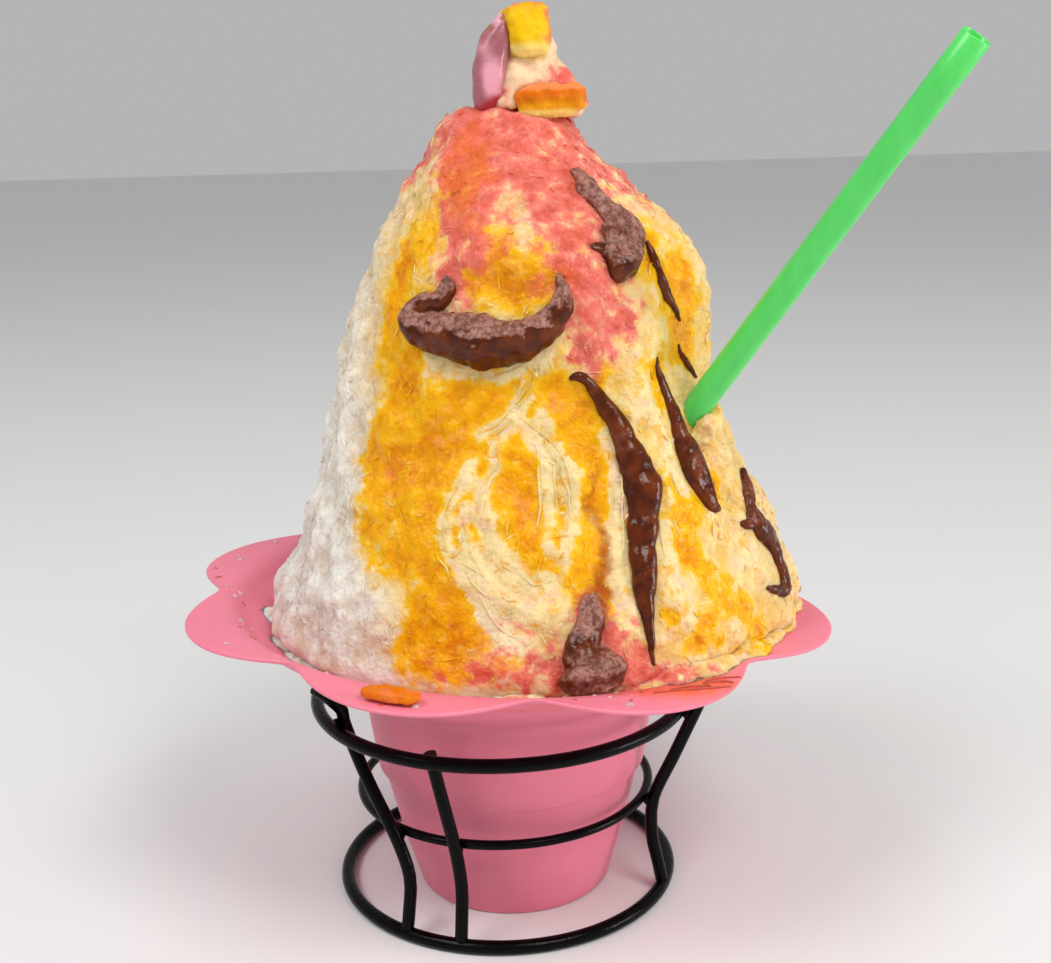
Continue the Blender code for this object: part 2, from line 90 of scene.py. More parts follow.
# The middle line and mean half-width of the ice, as (height above the rim, middle, half-width)
ICE_MIDDLE = (
    (-8.0, 8.0, 69.5),
    (14.0, 8.75, 61.75),
    (38.0, 5.0, 52.0),
    (62.0, 3.5, 46.0),
    (86.0, 4.75, 39.75),
    (95.0, 4.25, 35.25),
    (103.0, 1.75, 28.25),
    (111.0, -2.25, 20.75),
    (120.0, -1.2, 15.8),
)
ICE_DEPTH_SHARE = 0.93

# Syrups on the ice: patches of (azimuth, height, half-width, half-height, strength).
MANGO_SYRUP = (
    (250, 52, 16, 11, 1.1),
    (238, 56, 8, 10, 0.9),
    (262, 57, 9, 8, 1.0),
    (276, 58, 8, 7, 1.0),
    (284, 48, 6, 12, 0.9),
    (243, 42, 9, 9, 0.9),
    (252, 34, 8, 10, 0.9),
    (246, 24, 7, 12, 0.9),
    (250, 12, 7, 10, 0.95),
    (247, 4, 9, 5, 0.9),
    (262, 4, 7, 5, 0.7),
    (225, 46, 4, 12, 0.9),
    (229, 34, 5, 12, 0.7),
    (238, 28, 6, 8, 0.5),
    (267, 40, 5, 11, 1.5),
    (272, 31, 5, 6, 0.9),
    (279, 25, 6, 11, 0.9),
    (282, 19, 4, 6, 0.8),
    (261, 91, 8, 7, 0.75),
    (268, 84, 8, 6, 0.95),
    (254, 84, 4, 5, 0.7),
    (249, 98, 4, 4, 0.6),
    (246, 110, 6, 7, 1.1),
    (239, 104, 5, 6, 0.9),
    (226, 90, 6, 9, 0.6),
    (222, 76, 5, 12, 0.75),
    (234, 72, 5, 9, 0.8),
    (314, 89, 4, 8, 1.1),
    (321, 76, 4, 8, 1.1),
    (326, 84, 3, 8, 1.3),
    (289, 40, 3, 10, 0.9),
    (303, 66, 3, 5, 0.6),
    (291, 61, 3, 5, 0.9),
    (305, 34, 5, 8, 1.3),
    (308, 30, 4, 5, 0.8),
    (306, 17, 2.4, 6, 1.1),
    (303, 10, 3, 3.4, 0.9),
    (317, 10, 4, 3.4, 0.9),
    (321, 3, 4, 3, 0.9),
    (313, 17, 7, 6, 0.45),
    (306, 22, 3, 5, 1.1),
    (312, 13, 2.4, 2.4, 0.9),
    (296, 16, 2, 2.4, 0.7),
    (325, 38, 3, 3.4, 0.8),
    (310, 64, 2.4, 6, 0.8),
    (327, 69, 2.4, 6, 1.1),
    (316, 50, 20, 50, 0.22),
    (20, 70, 20, 24, 0.9),
    (55, 40, 18, 26, 0.9),
    (95, 62, 14, 22, 1.0),
    (130, 34, 14, 22, 0.9),
    (100, 14, 14, 10, 0.8),
    (165, 60, 10, 22, 0.7),
    (20, 18, 12, 12, 0.7),
)
BERRY_SYRUP = (
    (230, 118, 9, 6, 1.0),
    (262, 117, 12, 9, 1.0),
    (296, 116, 12, 8, 0.8),
    (250, 109, 9, 8, 0.95),
    (236, 104, 5, 7, 0.5),
    (280, 108, 12, 9, 0.75),
    (284, 98, 8, 9, 1.0),
    (289, 88, 8, 7, 0.9),
    (243, 91, 5, 8, 0.95),
    (247, 82, 4, 5, 0.8),
    (280, 84, 5, 7, 0.7),
    (290, 75, 6, 6, 1.0),
    (300, 79, 4, 4, 0.7),
    (288, 67, 4, 4, 0.7),
    (305, 100, 9, 8, 0.35),
    (264, 1, 18, 4, 0.75),
    (262, 10, 6, 4, 0.45),
    (256, 97, 11, 11, 0.42),
    (268, 7, 6, 4, 0.5),
    (284, 8, 7, 8, 0.65),
    (292, 2, 14, 4, 0.8),
    (279, 15, 4, 8, 0.6),
    (233, 38, 5, 5, 0.3),
    (345, 112, 14, 10, 0.9),
    (30, 110, 20, 14, 1.0),
    (80, 100, 16, 16, 0.9),
    (130, 108, 16, 14, 1.0),
    (175, 112, 10, 10, 0.7),
    (70, 74, 7, 12, 0.7),
    (112, 84, 8, 12, 0.8),
    (40, 14, 16, 8, 0.5),
    (75, 6, 18, 8, 0.6),
)
CREAM_TINT = (
    (285, 70, 50, 50, 1.2),
    (300, 20, 42, 40, 1.2),
    (232, 95, 16, 24, 0.9),
    (237, 60, 10, 26, 0.8),
    (245, 22, 10, 20, 0.8),
    (340, 40, 30, 60, 0.9),
    (30, 50, 60, 50, 0.9),
    (90, 60, 50, 50, 0.8),
    (140, 60, 30, 40, 0.5),
)
BARE_SNOW = (
    (324, 22, 6, 5, 0.9),
    (265, 104, 5, 6, 0.9),
    (284, 119, 9, 2.6, 0.8),
    (311, 27, 4, 4, 0.6),
    (313, 9, 2.4, 5, 0.6),
    (257, 27, 6, 9, 0.5),
    (268, 99, 5, 4, 0.5),
    (296, 50, 4, 8, 0.35),
    (303, 74, 4, 6, 0.4),
    (325, 90, 6, 6, 0.5),
    (322, 50, 6, 12, 0.3),
)
# Brown stains of chocolate on the ice, and one painted shadow.
BROWN_STAIN_AND_SHADOW = (
    (286, 42, 1.6, 5, 0.6),
    (285.5, 33, 1.8, 6, 0.8),
    (284.5, 24, 2.2, 6, 1.0),
    (282, 18.5, 3.2, 3, 0.9),
    (277, 17, 3, 3, 0.35),
    (300, 92, 5, 5, 0.35),
    (288, 93, 2.4, 2, 0.6),
    # A painted shadow on the ice, coloured like a stain.
    (309, 51, 2.6, 1.2, 0.6),
    (331, 33, 2, 5, 0.5),
)

# Ridges of paler ice left standing between the syrup, as lines over the ice.
PALE_RIDGES = (
    ((264, 53), (261, 50), (261, 45), (259, 41), (258, 37), (257, 34)),
    ((255, 45), (252, 39), (250, 34), (250, 28), (252, 25), (253, 22), (256, 19)),
    ((254, 36), (254, 32), (255, 28), (257, 23), (260, 19), (264, 17), (267, 15)),
    ((259, 36), (259, 32), (261, 27), (262, 25), (265, 23), (267, 21), (271, 22)),
    ((264, 53), (268, 53), (271, 50), (274, 47), (274, 41), (274, 35), (272, 29), (274, 27)),
    ((268, 54), (273, 51), (278, 47), (280, 42), (280, 36), (277, 30), (276, 26)),
    ((273, 69), (269, 63), (266, 57), (261, 53), (256, 51)),
    ((272, 66), (270, 60), (264, 55)),
    ((238, 70), (243, 66.5), (250, 64), (258, 64), (266, 65), (272, 68)),
    ((274, 56), (277, 50), (278, 44), (280, 38)),
    ((291, 51), (292, 42), (290, 33), (288, 25), (287, 17)),
    ((301, 44), (302, 34), (300, 27), (299, 19), (300, 12)),
    ((304, 62), (306, 54), (308, 47), (310, 40)),
    ((256, 19), (258, 14), (261, 11), (266, 9)),
)
RIDGE_HALF = 1.9
RIDGE_RISE = 0.5

# Chocolate sauce: stations of (azimuth, height, width, thickness) along each run.
SAUCES = {
    "sauce_curl": (
        (240.4, 85.0, 1.6, 1.0),
        (242.0, 82.6, 4.2, 2.2),
        (241.2, 80.0, 4.2, 2.6),
        (237.4, 79.0, 4.6, 3.0),
        (233.8, 77.6, 5.2, 3.4),
        (232.6, 74.8, 6.6, 4.2),
        (236.6, 73.0, 8.6, 5.0),
        (243.9, 72.4, 10.4, 5.6),
        (250.8, 72.0, 11.4, 5.8),
        (256.9, 71.6, 11.8, 5.8),
        (262.7, 71.8, 10.6, 5.6),
        (268.1, 72.8, 9.2, 5.0),
        (272.6, 74.8, 8.0, 4.4),
        (276.0, 77.6, 6.6, 3.6),
        (278.0, 80.9, 4.6, 2.8),
        (277.9, 84.0, 2.8, 1.8),
        (276.8, 86.6, 1.0, 0.7),
    ),
    "sauce_ridge": (
        (302.8, 108.6, 2.2, 1.2),
        (301.2, 105.6, 4.6, 2.0),
        (299.9, 103.0, 5.4, 2.6),
        (301.6, 100.0, 6.8, 3.2),
        (303.4, 97.4, 9.6, 3.8),
        (302.4, 94.4, 12.0, 4.2),
        (299.6, 91.4, 12.2, 4.4),
        (296.6, 88.4, 9.4, 4.0),
        (294.2, 85.6, 3.6, 2.0),
    ),
    "sauce_long": (
        (281.6, 63.9, 0.8, 0.5),
        (283.8, 64.6, 2.0, 1.0),
        (286.8, 63.6, 2.4, 1.4),
        (289.9, 60.9, 3.2, 1.8),
        (292.4, 57.5, 4.2, 2.4),
        (294.6, 54.3, 4.8, 2.8),
        (295.9, 50.6, 5.6, 3.2),
        (296.9, 46.8, 7.0, 3.6),
        (298.0, 43.1, 8.8, 4.2),
        (298.2, 39.5, 9.0, 4.4),
        (297.1, 35.8, 7.6, 4.0),
        (295.7, 31.6, 7.0, 3.8),
        (294.3, 27.5, 6.8, 3.6),
        (293.3, 23.4, 6.2, 3.4),
        (292.2, 19.7, 5.2, 3.0),
        (291.4, 16.3, 3.8, 2.2),
        (291.2, 12.2, 2.8, 1.6),
        (291.4, 8.2, 2.0, 1.2),
        (291.8, 3.6, 1.2, 0.7),
    ),
    "sauce_short": (
        (310.0, 68.3, 1.0, 0.6),
        (312.3, 63.7, 2.4, 1.2),
        (314.0, 59.7, 3.4, 1.9),
        (315.5, 55.1, 4.0, 2.4),
        (316.1, 50.9, 4.8, 2.8),
        (317.3, 47.0, 7.0, 3.6),
        (318.0, 43.6, 7.4, 3.8),
        (318.2, 39.7, 7.0, 3.6),
        (318.6, 36.0, 5.6, 3.2),
        (319.0, 32.8, 2.2, 1.4),
    ),
    "sauce_edge": (
        (343.4, 38.6, 1.6, 1.0),
        (339.6, 34.5, 3.4, 2.0),
        (336.2, 31.2, 4.2, 2.6),
        (334.2, 27.4, 6.2, 3.4),
        (337.0, 23.8, 6.6, 3.6),
        (338.6, 20.0, 5.2, 3.0),
        (338.4, 17.0, 4.6, 2.6),
        (337.4, 13.6, 4.2, 2.4),
        (335.0, 11.2, 3.6, 2.2),
        (331.2, 12.4, 2.8, 1.7),
        (327.2, 14.0, 1.2, 0.8),
    ),
    "sauce_foot": (
        (280.2, 18.8, 3.4, 2.0),
        (279.6, 16.4, 5.4, 3.0),
        (279.2, 13.4, 6.2, 3.4),
        (278.1, 10.4, 7.0, 3.8),
        (277.3, 7.2, 8.6, 4.8),
        (278.4, 4.8, 12.6, 6.0),
        (279.2, 2.2, 16.0, 6.8),
        (279.6, 0.2, 16.0, 6.6),
    ),
}

# How frosty each run of chocolate is; the share where it faces up is also a painted sheen of light from above: (where
# it faces up, all over).
FROST_AND_TOP_SHEEN = {
    "sauce_curl": (1.05, 0.02),
    "sauce_ridge": (0.4, 0.72),
    "sauce_long": (0.1, 0.0),
    "sauce_short": (0.25, 0.1),
    "sauce_edge": (0.3, 0.1),
    "sauce_foot": (0.7, 0.5),
}

# Where the frost is thicker or missing, as patches of (azimuth, height, half-width, half-height, strength).
FROST_PATCHES = {
    "sauce_foot": (
        (277, 9.5, 6, 2.6, -1.0),
        (272.5, 3.5, 2.4, 5, -0.8),
        (278.5, 15.5, 5, 3.4, 0.3),
        (280, 1.5, 7, 2.6, 0.3),
    ),
    "sauce_ridge": ((301, 104, 5, 5, 0.2), (296, 88, 6, 3, -0.6), (298, 95, 3, 3, -0.4)),
    "sauce_long": ((289, 60, 2, 4, 0.3), (294, 50, 3, 5, 0.3)),
}

# How flat each run of chocolate lies, how deeply folded it is, and how far its folds run down it.
FOLDS = {
    "sauce_curl": (0.8, 1.0, 1.0),
    "sauce_ridge": (0.72, 1.5, 1.3),
    "sauce_long": (0.66, 0.42, 3.4),
    "sauce_short": (0.62, 0.7, 2.6),
    "sauce_edge": (0.66, 0.9, 1.5),
    "sauce_foot": (0.8, 1.0, 1.2),
}

# Thinner chocolate: spurs and trickles, as stations of (azimuth, height, width, thickness).
DRIPS = (
    ((311.6, 93.2, 1.0, 0.7), (312.6, 89.4, 2.1, 1.3), (314, 85.2, 2.0, 1.2), (316.6, 82, 2.9, 1.5), (319.2, 78.8, 1.6, 1.0), (322.6, 75.2, 0.7, 0.5)),
    ((323.6, 69.8, 0.6, 0.4), (325, 67, 1.2, 0.8), (327.3, 64.1, 1.4, 0.9), (330, 61.8, 0.6, 0.4)),
    ((287.6, 92.2, 1.2, 0.4), (289.4, 92.4, 2.2, 0.8), (292, 91.8, 3.0, 1.4), (296, 91.5, 2.0, 1.4)),
    ((328.2, 28.4, 1.0, 0.4), (330.4, 27.8, 2.6, 1.2), (334, 27.2, 3.4, 2.0)),
    ((246.6, 77.4, 0.8, 0.6), (244.8, 76.2, 2.0, 1.4), (243.2, 74.6, 2.4, 1.8)),
)

# Colours of the tip: patches of (x from the cup's axis, height, half-width, half-height, strength).
# The jelly's pale patches: its pale bulb, with a painted highlight in it.
JELLY_PALE_AND_HIGHLIGHT = ((-6.2, 128.6, 2.6, 4.2, 1.1), (-8.6, 134.5, 2.0, 2.4, 0.5), (-5.6, 124.6, 2.6, 2.4, 0.5), (-6.0, 141.5, 2.6, 2.2, 0.9))
JELLY_DEEP = ((-5.2, 120.6, 3.4, 3.6, 1.1), (-9.4, 119.0, 3.0, 2.0, 0.6))
JELLY_SPOT = ((-7.2, 139.2, 1.1, 1.0, 1.0), (-4.4, 141.2, 0.9, 0.6, 0.9))
CREAM_PINK = (
    (10.0, 128.2, 4.2, 3.4, 1.1),
    (14.6, 124.0, 3.0, 2.0, 0.8),
    (7.0, 117.6, 10.0, 1.8, 1.0),
    (-3.0, 124.4, 1.6, 2.4, 0.5),
)
CREAM_YELLOW = ((2.4, 133.6, 6.0, 1.8, 0.7), (5.0, 119.6, 8.0, 1.4, 0.5))

# Red-brown syrup threads that lie on the front right of the brim, as (x, y) from the cup's axis.
BRIM_THREADS = (
    ((32.0, -66.0), (36.5, -64.5), (41.5, -63.5), (46.5, -62.5), (51.5, -62.0), (55.5, -62.5)),
    ((45.0, -62.5), (43.5, -60.0), (45.5, -57.8), (48.5, -57.0), (52.0, -57.2)),
    ((42.0, -63.5), (45.0, -59.5), (49.0, -59.5), (51.0, -61.5)),
    ((36.0, -64.0), (40.0, -62.0), (44.0, -61.5)),
)

# Wire holder
WIRE = 3.5
WAIST_WIRE = 2.4
STRUT_WIRE = 3.2
GAP = 0.3
UPPER_RING_R = 48.1
UPPER_RING_Z = 51.8
WAIST_RING_R = 37.9
WAIST_RING_Z = 26.3
FOOT_RING_R = 43.0

# Struts: (azimuth at the upper ring, at the waist ring, 1 outside the upper ring or -1 inside it, hooked).
STRUTS = (
    (339.0, 339.0, 1, False),
    (40.0, 40.0, 1, False),
    (112.0, 112.0, -1, False),
    (208.0, 229.0, -1, True),
    (248.0, 253.5, -1, False),
)
STRUT_TOPS = {1: 4.0, -1: 0.4}
# A hooked strut goes on over the upper ring: (outwards, upwards) from where it passes the ring.
STRUT_HOOK = ((7.1, 10.6), (3.2, 6.8), (0.4, 3.2))

# Straw
STRAW_R = 3.25
STRAW_WALL = 0.35
STRAW_ENTRY = Vector((42.4, -24.0, 131.0))
STRAW_LEAN = Vector((0.457, -0.352, 0.817)).normalized()
STRAW_ABOVE = 102.0
STRAW_INSIDE = 38.0
# Snow against the straw where it goes in: balls of (place from the entry, radius).
STRAW_SNOW = (
    ((3.4, -2.2, -3.4), 3.2),
    ((4.6, 0.2, -0.8), 2.6),
    ((0.4, -2.6, -5.6), 2.6),
)

# How much is scattered
GRAINS = 9000
SHREDS = 420
STRANDS = 2
SLUSH_STEPS = 240
SLUSH_LEVEL = 2.6
DROPS = 46
SPECKS = 26

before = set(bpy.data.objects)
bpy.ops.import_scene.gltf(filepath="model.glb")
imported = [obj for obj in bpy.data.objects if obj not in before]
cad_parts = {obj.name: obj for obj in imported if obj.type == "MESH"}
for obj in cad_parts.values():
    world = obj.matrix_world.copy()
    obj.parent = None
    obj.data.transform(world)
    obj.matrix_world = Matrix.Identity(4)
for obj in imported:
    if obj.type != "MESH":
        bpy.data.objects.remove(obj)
CAD_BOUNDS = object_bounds()
SCENE = bpy.context.scene
foot_low, foot_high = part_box("foot_ring")
AXIS_X = (foot_low.x + foot_high.x) / 2 / MM - HOLDER_X


# ---------------------------------------------------------------- layout


def lean(p):
    """A point of the upright layout, turned about the middle of the rim to where it stands."""
    rise = p[2] - RIM_Z
    x = p[0] * math.cos(LEAN) + rise * math.sin(LEAN)
    return Vector((x, p[1], RIM_Z + rise * math.cos(LEAN) - p[0] * math.sin(LEAN)))


def settle(p):
    """A point of the cup as it stands: its body is upright, its brim leans, and its flare bends between them."""
    share = min(1.0, max(0.0, (p[2] - THROAT_Z) / (RIM_Z - THROAT_Z)))
    return Vector(p).lerp(lean(p), share)


def upright(points):
    """Rows of points of the finished part, in millimetres, taken back to the upright layout, from the rim up."""
    x = points[:, 0] - AXIS_X
    z = points[:, 2] - RIM_Z
    found = np.empty_like(points)
    found[:, 0] = x * math.cos(LEAN) - z * math.sin(LEAN)
    found[:, 1] = points[:, 1]
    found[:, 2] = z * math.cos(LEAN) + x * math.sin(LEAN)
    return found


def ice_places(points):
    """(azimuth in radians, height above the rim, half-width there) of points of the finished part."""
    flat = upright(points)
    heights = [row[0] for row in ICE_MIDDLE]
    middle = np.interp(flat[:, 2], heights, [row[1] for row in ICE_MIDDLE])
    size = np.interp(flat[:, 2], heights, [row[2] for row in ICE_MIDDLE])
    azimuth = np.arctan2(flat[:, 1] / ICE_DEPTH_SHARE, flat[:, 0] - middle)
    return azimuth, flat[:, 2], size


def shift(p):
    return Vector((p[0] + AXIS_X, p[1], p[2]))


# ---------------------------------------------------------------- meshes


def link(obj):
    SCENE.collection.objects.link(obj)
    return obj


def mesh_object(name, points, faces, finish, sharp=40.0):
    """An object from points of the finished part in millimetres, shaded smooth, with its faces turned outwards."""
    mesh = bpy.data.meshes.new(name)
    mesh.from_pydata([Vector(p) * MM for p in points], [], faces)
    shape = bmesh.new()
    shape.from_mesh(mesh)
    bmesh.ops.recalc_face_normals(shape, faces=shape.faces)
    shape.to_mesh(mesh)
    shape.free()
    mesh.shade_smooth()
    mesh.set_sharp_from_angle(angle=math.radians(sharp))
    mesh.materials.append(finish)
    return link(bpy.data.objects.new(name, mesh))


def skinned_rows(rows, closed=False):
    """Points and faces of a skin over rows of equal length: a closed loop of rows, or a tube with capped ends."""
    count = len(rows[0])
    points = [p for row in rows for p in row]
    faces = []
    spans = len(rows) if closed else len(rows) - 1
    for i in range(spans):
        a = i * count
        b = (i + 1) % len(rows) * count
        for k in range(count):
            n = (k + 1) % count
            faces.append((a + k, a + n, b + n, b + k))
    if not closed:
        faces.append(tuple(range(count)))
        faces.append(tuple((len(rows) - 1) * count + k for k in range(count)))
    return points, faces


def curve_point(before, low, high, after, t):
    """A point between low and high on the smooth curve through four stations."""
    found = []
    for a, b, c, d in zip(before, low, high, after):
        pull_low = (c - a) / 2
        pull_high = (d - b) / 2
        found.append(
            (2 * t**3 - 3 * t**2 + 1) * b
            + (t**3 - 2 * t**2 + t) * pull_low
            + (3 * t**2 - 2 * t**3) * c
            + (t**3 - t**2) * pull_high
        )
    return tuple(found)


def smooth_path(stations, step):
    """Stations every step or so along a smooth curve through the given ones."""
    last = len(stations) - 1
    found = []
    for i in range(last):
        low, high = stations[i], stations[i + 1]
        count = max(1, round(math.dist(low, high) / step))
        ends = (stations[max(0, i - 1)], low, high, stations[min(last, i + 2)])
        found += [curve_point(*ends, k / count) for k in range(count)]
    return [*found, tuple(stations[-1])]


def tube(line, radii, sides):
    """Rows of points around a line: a round section of a radius at each of its points."""
    rows = []
    across = None
    for i, middle in enumerate(line):
        along = (line[min(len(line) - 1, i + 1)] - line[max(0, i - 1)]).normalized()
        across = along.orthogonal() if across is None else across - along * across.dot(along)
        across.normalize()
        other = along.cross(across)
        turns = [2 * math.pi * k / sides for k in range(sides)]
        rows.append([middle + radii[i] * (across * math.cos(t) + other * math.sin(t)) for t in turns])
    return rows


def joined(skins):
    """Points and faces of several skins as one."""
    points = []
    faces = []
    for some_points, some_faces in skins:
        first = len(points)
        points += some_points
        faces += [tuple(first + i for i in face) for face in some_faces]
    return points, faces


def positions(obj):
    """The points of a mesh object in millimetres."""
    flat = np.empty(len(obj.data.vertices) * 3)
    obj.data.vertices.foreach_get("co", flat)
    return flat.reshape(-1, 3) / MM


def normals(obj):
    flat = np.empty(len(obj.data.vertices) * 3)
    obj.data.vertices.foreach_get("normal", flat)
    return flat.reshape(-1, 3)


def set_positions(obj, points):
    obj.data.vertices.foreach_set("co", (points * MM).ravel())
    obj.data.update()


def set_values(obj, name, values):
    """Keeps a number for each point of a mesh, which its material reads."""
    layer = obj.data.attributes.new(name, "FLOAT", "POINT")
    layer.data.foreach_set("value", np.clip(values, 0.0, 1.0).astype(np.float32))


def noise_at(points, size, offset=0.0):
    """Smooth noise of about -1 to 1 at each point, for features of a size."""
    return np.array([noise.noise(Vector(p) / size + Vector((offset, offset * 0.7, 1.3))) for p in points])


def puffs_at(points, size):
    """Rounded lumps with creases between them, of about -0.5 to 0.5."""
    return np.array([0.5 - noise.voronoi(Vector(p) / size)[0][0] for p in points])


def ridges_at(points, size):
    """Sharp-edged ridges of about -0.5 to 0.5."""
    return np.array([noise.ridged_multi_fractal(Vector(p) / size, 0.9, 2.1, 2, 1.0, 2.0) / 2 - 0.6 for p in points])


def smooth_step(low, high, values):
    share = np.clip((values - low) / (high - low), 0.0, 1.0)
    return share * share * (3 - 2 * share)


def evened(obj, voxel, smoothing=0, levels=0):
    """Gives a mesh an even skin, smoothed and divided."""
    even = obj.modifiers.new("even", "REMESH")
    even.mode = "VOXEL"
    even.voxel_size = voxel * MM
    if smoothing:
        soft = obj.modifiers.new("soft", "SMOOTH")
        soft.iterations = smoothing
        soft.factor = 0.5
    if levels:
        finer = obj.modifiers.new("finer", "SUBSURF")
        finer.levels = levels
        finer.render_levels = levels
    graph = bpy.context.evaluated_depsgraph_get()
    done = bpy.data.meshes.new_from_object(obj.evaluated_get(graph))
    obj.modifiers.clear()
    old = obj.data
    obj.data = done
    bpy.data.meshes.remove(old)
    done.shade_smooth()
    return obj


def refined(name, node, finish, voxel, smoothing=0, levels=0, extra=None):
    """A finer copy of a CAD node, with any extra skin joined to it, which takes the node's place."""
    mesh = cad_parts[node].data.copy()
    mesh.materials.clear()
    mesh.materials.append(finish)
    shape = bmesh.new()
    shape.from_mesh(mesh)
    bmesh.ops.remove_doubles(shape, verts=shape.verts, dist=0.02 * MM)
    if extra:
        added = [shape.verts.new(Vector(p) * MM) for p in extra[0]]
        for face in extra[1]:
            shape.faces.new([added[i] for i in face])
    bmesh.ops.recalc_face_normals(shape, faces=shape.faces)
    shape.to_mesh(mesh)
    shape.free()
    obj = evened(link(bpy.data.objects.new(name, mesh)), voxel, smoothing, levels)
    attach(obj, "root")
    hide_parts(node)
    return obj


def tree_of(obj):
    return BVHTree.FromPolygons([v.co for v in obj.data.vertices], [tuple(f.vertices) for f in obj.data.polygons])


# ---------------------------------------------------------------- materials


class Finish:
    """A material and the nodes that make it up."""

    def __init__(self, name):
        self.material = bpy.data.materials.new(name)
        self.material.use_nodes = True
        self.tree = self.material.node_tree
        self.shader = self.tree.nodes["Principled BSDF"]
        self.place = self.node("ShaderNodeTexCoord").outputs["Object"]

    def node(self, kind, **settings):
        made = self.tree.nodes.new(kind)
        for key, value in settings.items():
            setattr(made, key, value)
        return made

    def plug(self, socket, value):
        if isinstance(value, bpy.types.NodeSocket):
            self.tree.links.new(value, socket)
        elif isinstance(value, tuple) and len(value) == 3 and socket.type == "RGBA":
            socket.default_value = (*value, 1.0)
        else:
            socket.default_value = value

    def fixed(self, **values):
        """Values that are the same all over, named as the shader's sockets with _ for a space."""
        for key, value in values.items():
            self.plug(self.shader.inputs[key.replace("_", " ")], value)

    def values(self, name):
        return self.node("ShaderNodeAttribute", attribute_name=name).outputs["Fac"]

    def noise(self, size, detail=3.0, rough=0.55, stretch=None):
        """Noise of 0 to 1 with features of a size in millimetres."""
        made = self.node("ShaderNodeTexNoise")
        made.inputs["Scale"].default_value = 1.0 / (size * MM)
        made.inputs["Detail"].default_value = detail
        made.inputs["Roughness"].default_value = rough
        place = self.place
        if stretch:
            scaled = self.node("ShaderNodeMapping")
            scaled.inputs["Scale"].default_value = stretch
            self.plug(scaled.inputs["Vector"], place)
            place = scaled.outputs["Vector"]
        self.plug(made.inputs["Vector"], place)
        return made.outputs["Fac"]

    def cells(self, size):
        """The distance to the nearest grain, for grains of a size in millimetres."""
        made = self.node("ShaderNodeTexVoronoi")
        made.inputs["Scale"].default_value = 1.0 / (size * MM)
        self.plug(made.inputs["Vector"], self.place)
        return made.outputs["Distance"]

    def math(self, operation, a, b=0.0, c=0.0, clamp=False):
        made = self.node("ShaderNodeMath", operation=operation, use_clamp=clamp)
        for socket, value in zip(made.inputs, (a, b, c)):
            self.plug(socket, value)
        return made.outputs[0]

    def sum(self, *terms):
        """The sum of values, each with its weight."""
        total = 0.0
        for value, weight in terms:
            total = self.math("MULTIPLY_ADD", value, weight, total)
        return total

    def span(self, value, low, high, to_low=0.0, to_high=1.0):
        made = self.node("ShaderNodeMapRange", interpolation_type="SMOOTHSTEP")
        for socket, given in zip(made.inputs, (value, low, high, to_low, to_high)):
            self.plug(socket, given)
        return made.outputs[0]

    def mix(self, share, a, b):
        made = self.node("ShaderNodeMix", data_type="RGBA")
        self.plug(made.inputs["Factor"], share)
        self.plug(made.inputs[6], a)
        self.plug(made.inputs[7], b)
        return made.outputs[2]

    def ramp(self, value, *stops):
        made = self.node("ShaderNodeValToRGB")
        points = made.color_ramp.elements
        while len(points) < len(stops):
            points.new(0.5)
        for point, (place, colour) in zip(points, stops):
            point.position = place
            point.color = (*colour, 1.0)
        self.plug(made.inputs["Fac"], value)
        return made.outputs["Color"]

    def bump(self, height, depth):
        """Relief of a depth in millimetres."""
        made = self.node("ShaderNodeBump")
        made.inputs["Strength"].default_value = 1.0
        made.inputs["Distance"].default_value = depth * MM
        self.plug(made.inputs["Height"], height)
        self.plug(self.shader.inputs["Normal"], made.outputs["Normal"])


def tone(red, green, blue):
    """A colour given as it looks on a screen, 0 to 255, as the shader takes it."""
    return tuple(((c / 255 + 0.055) / 1.055) ** 2.4 if c > 10 else c / 255 / 12.92 for c in (red, green, blue))


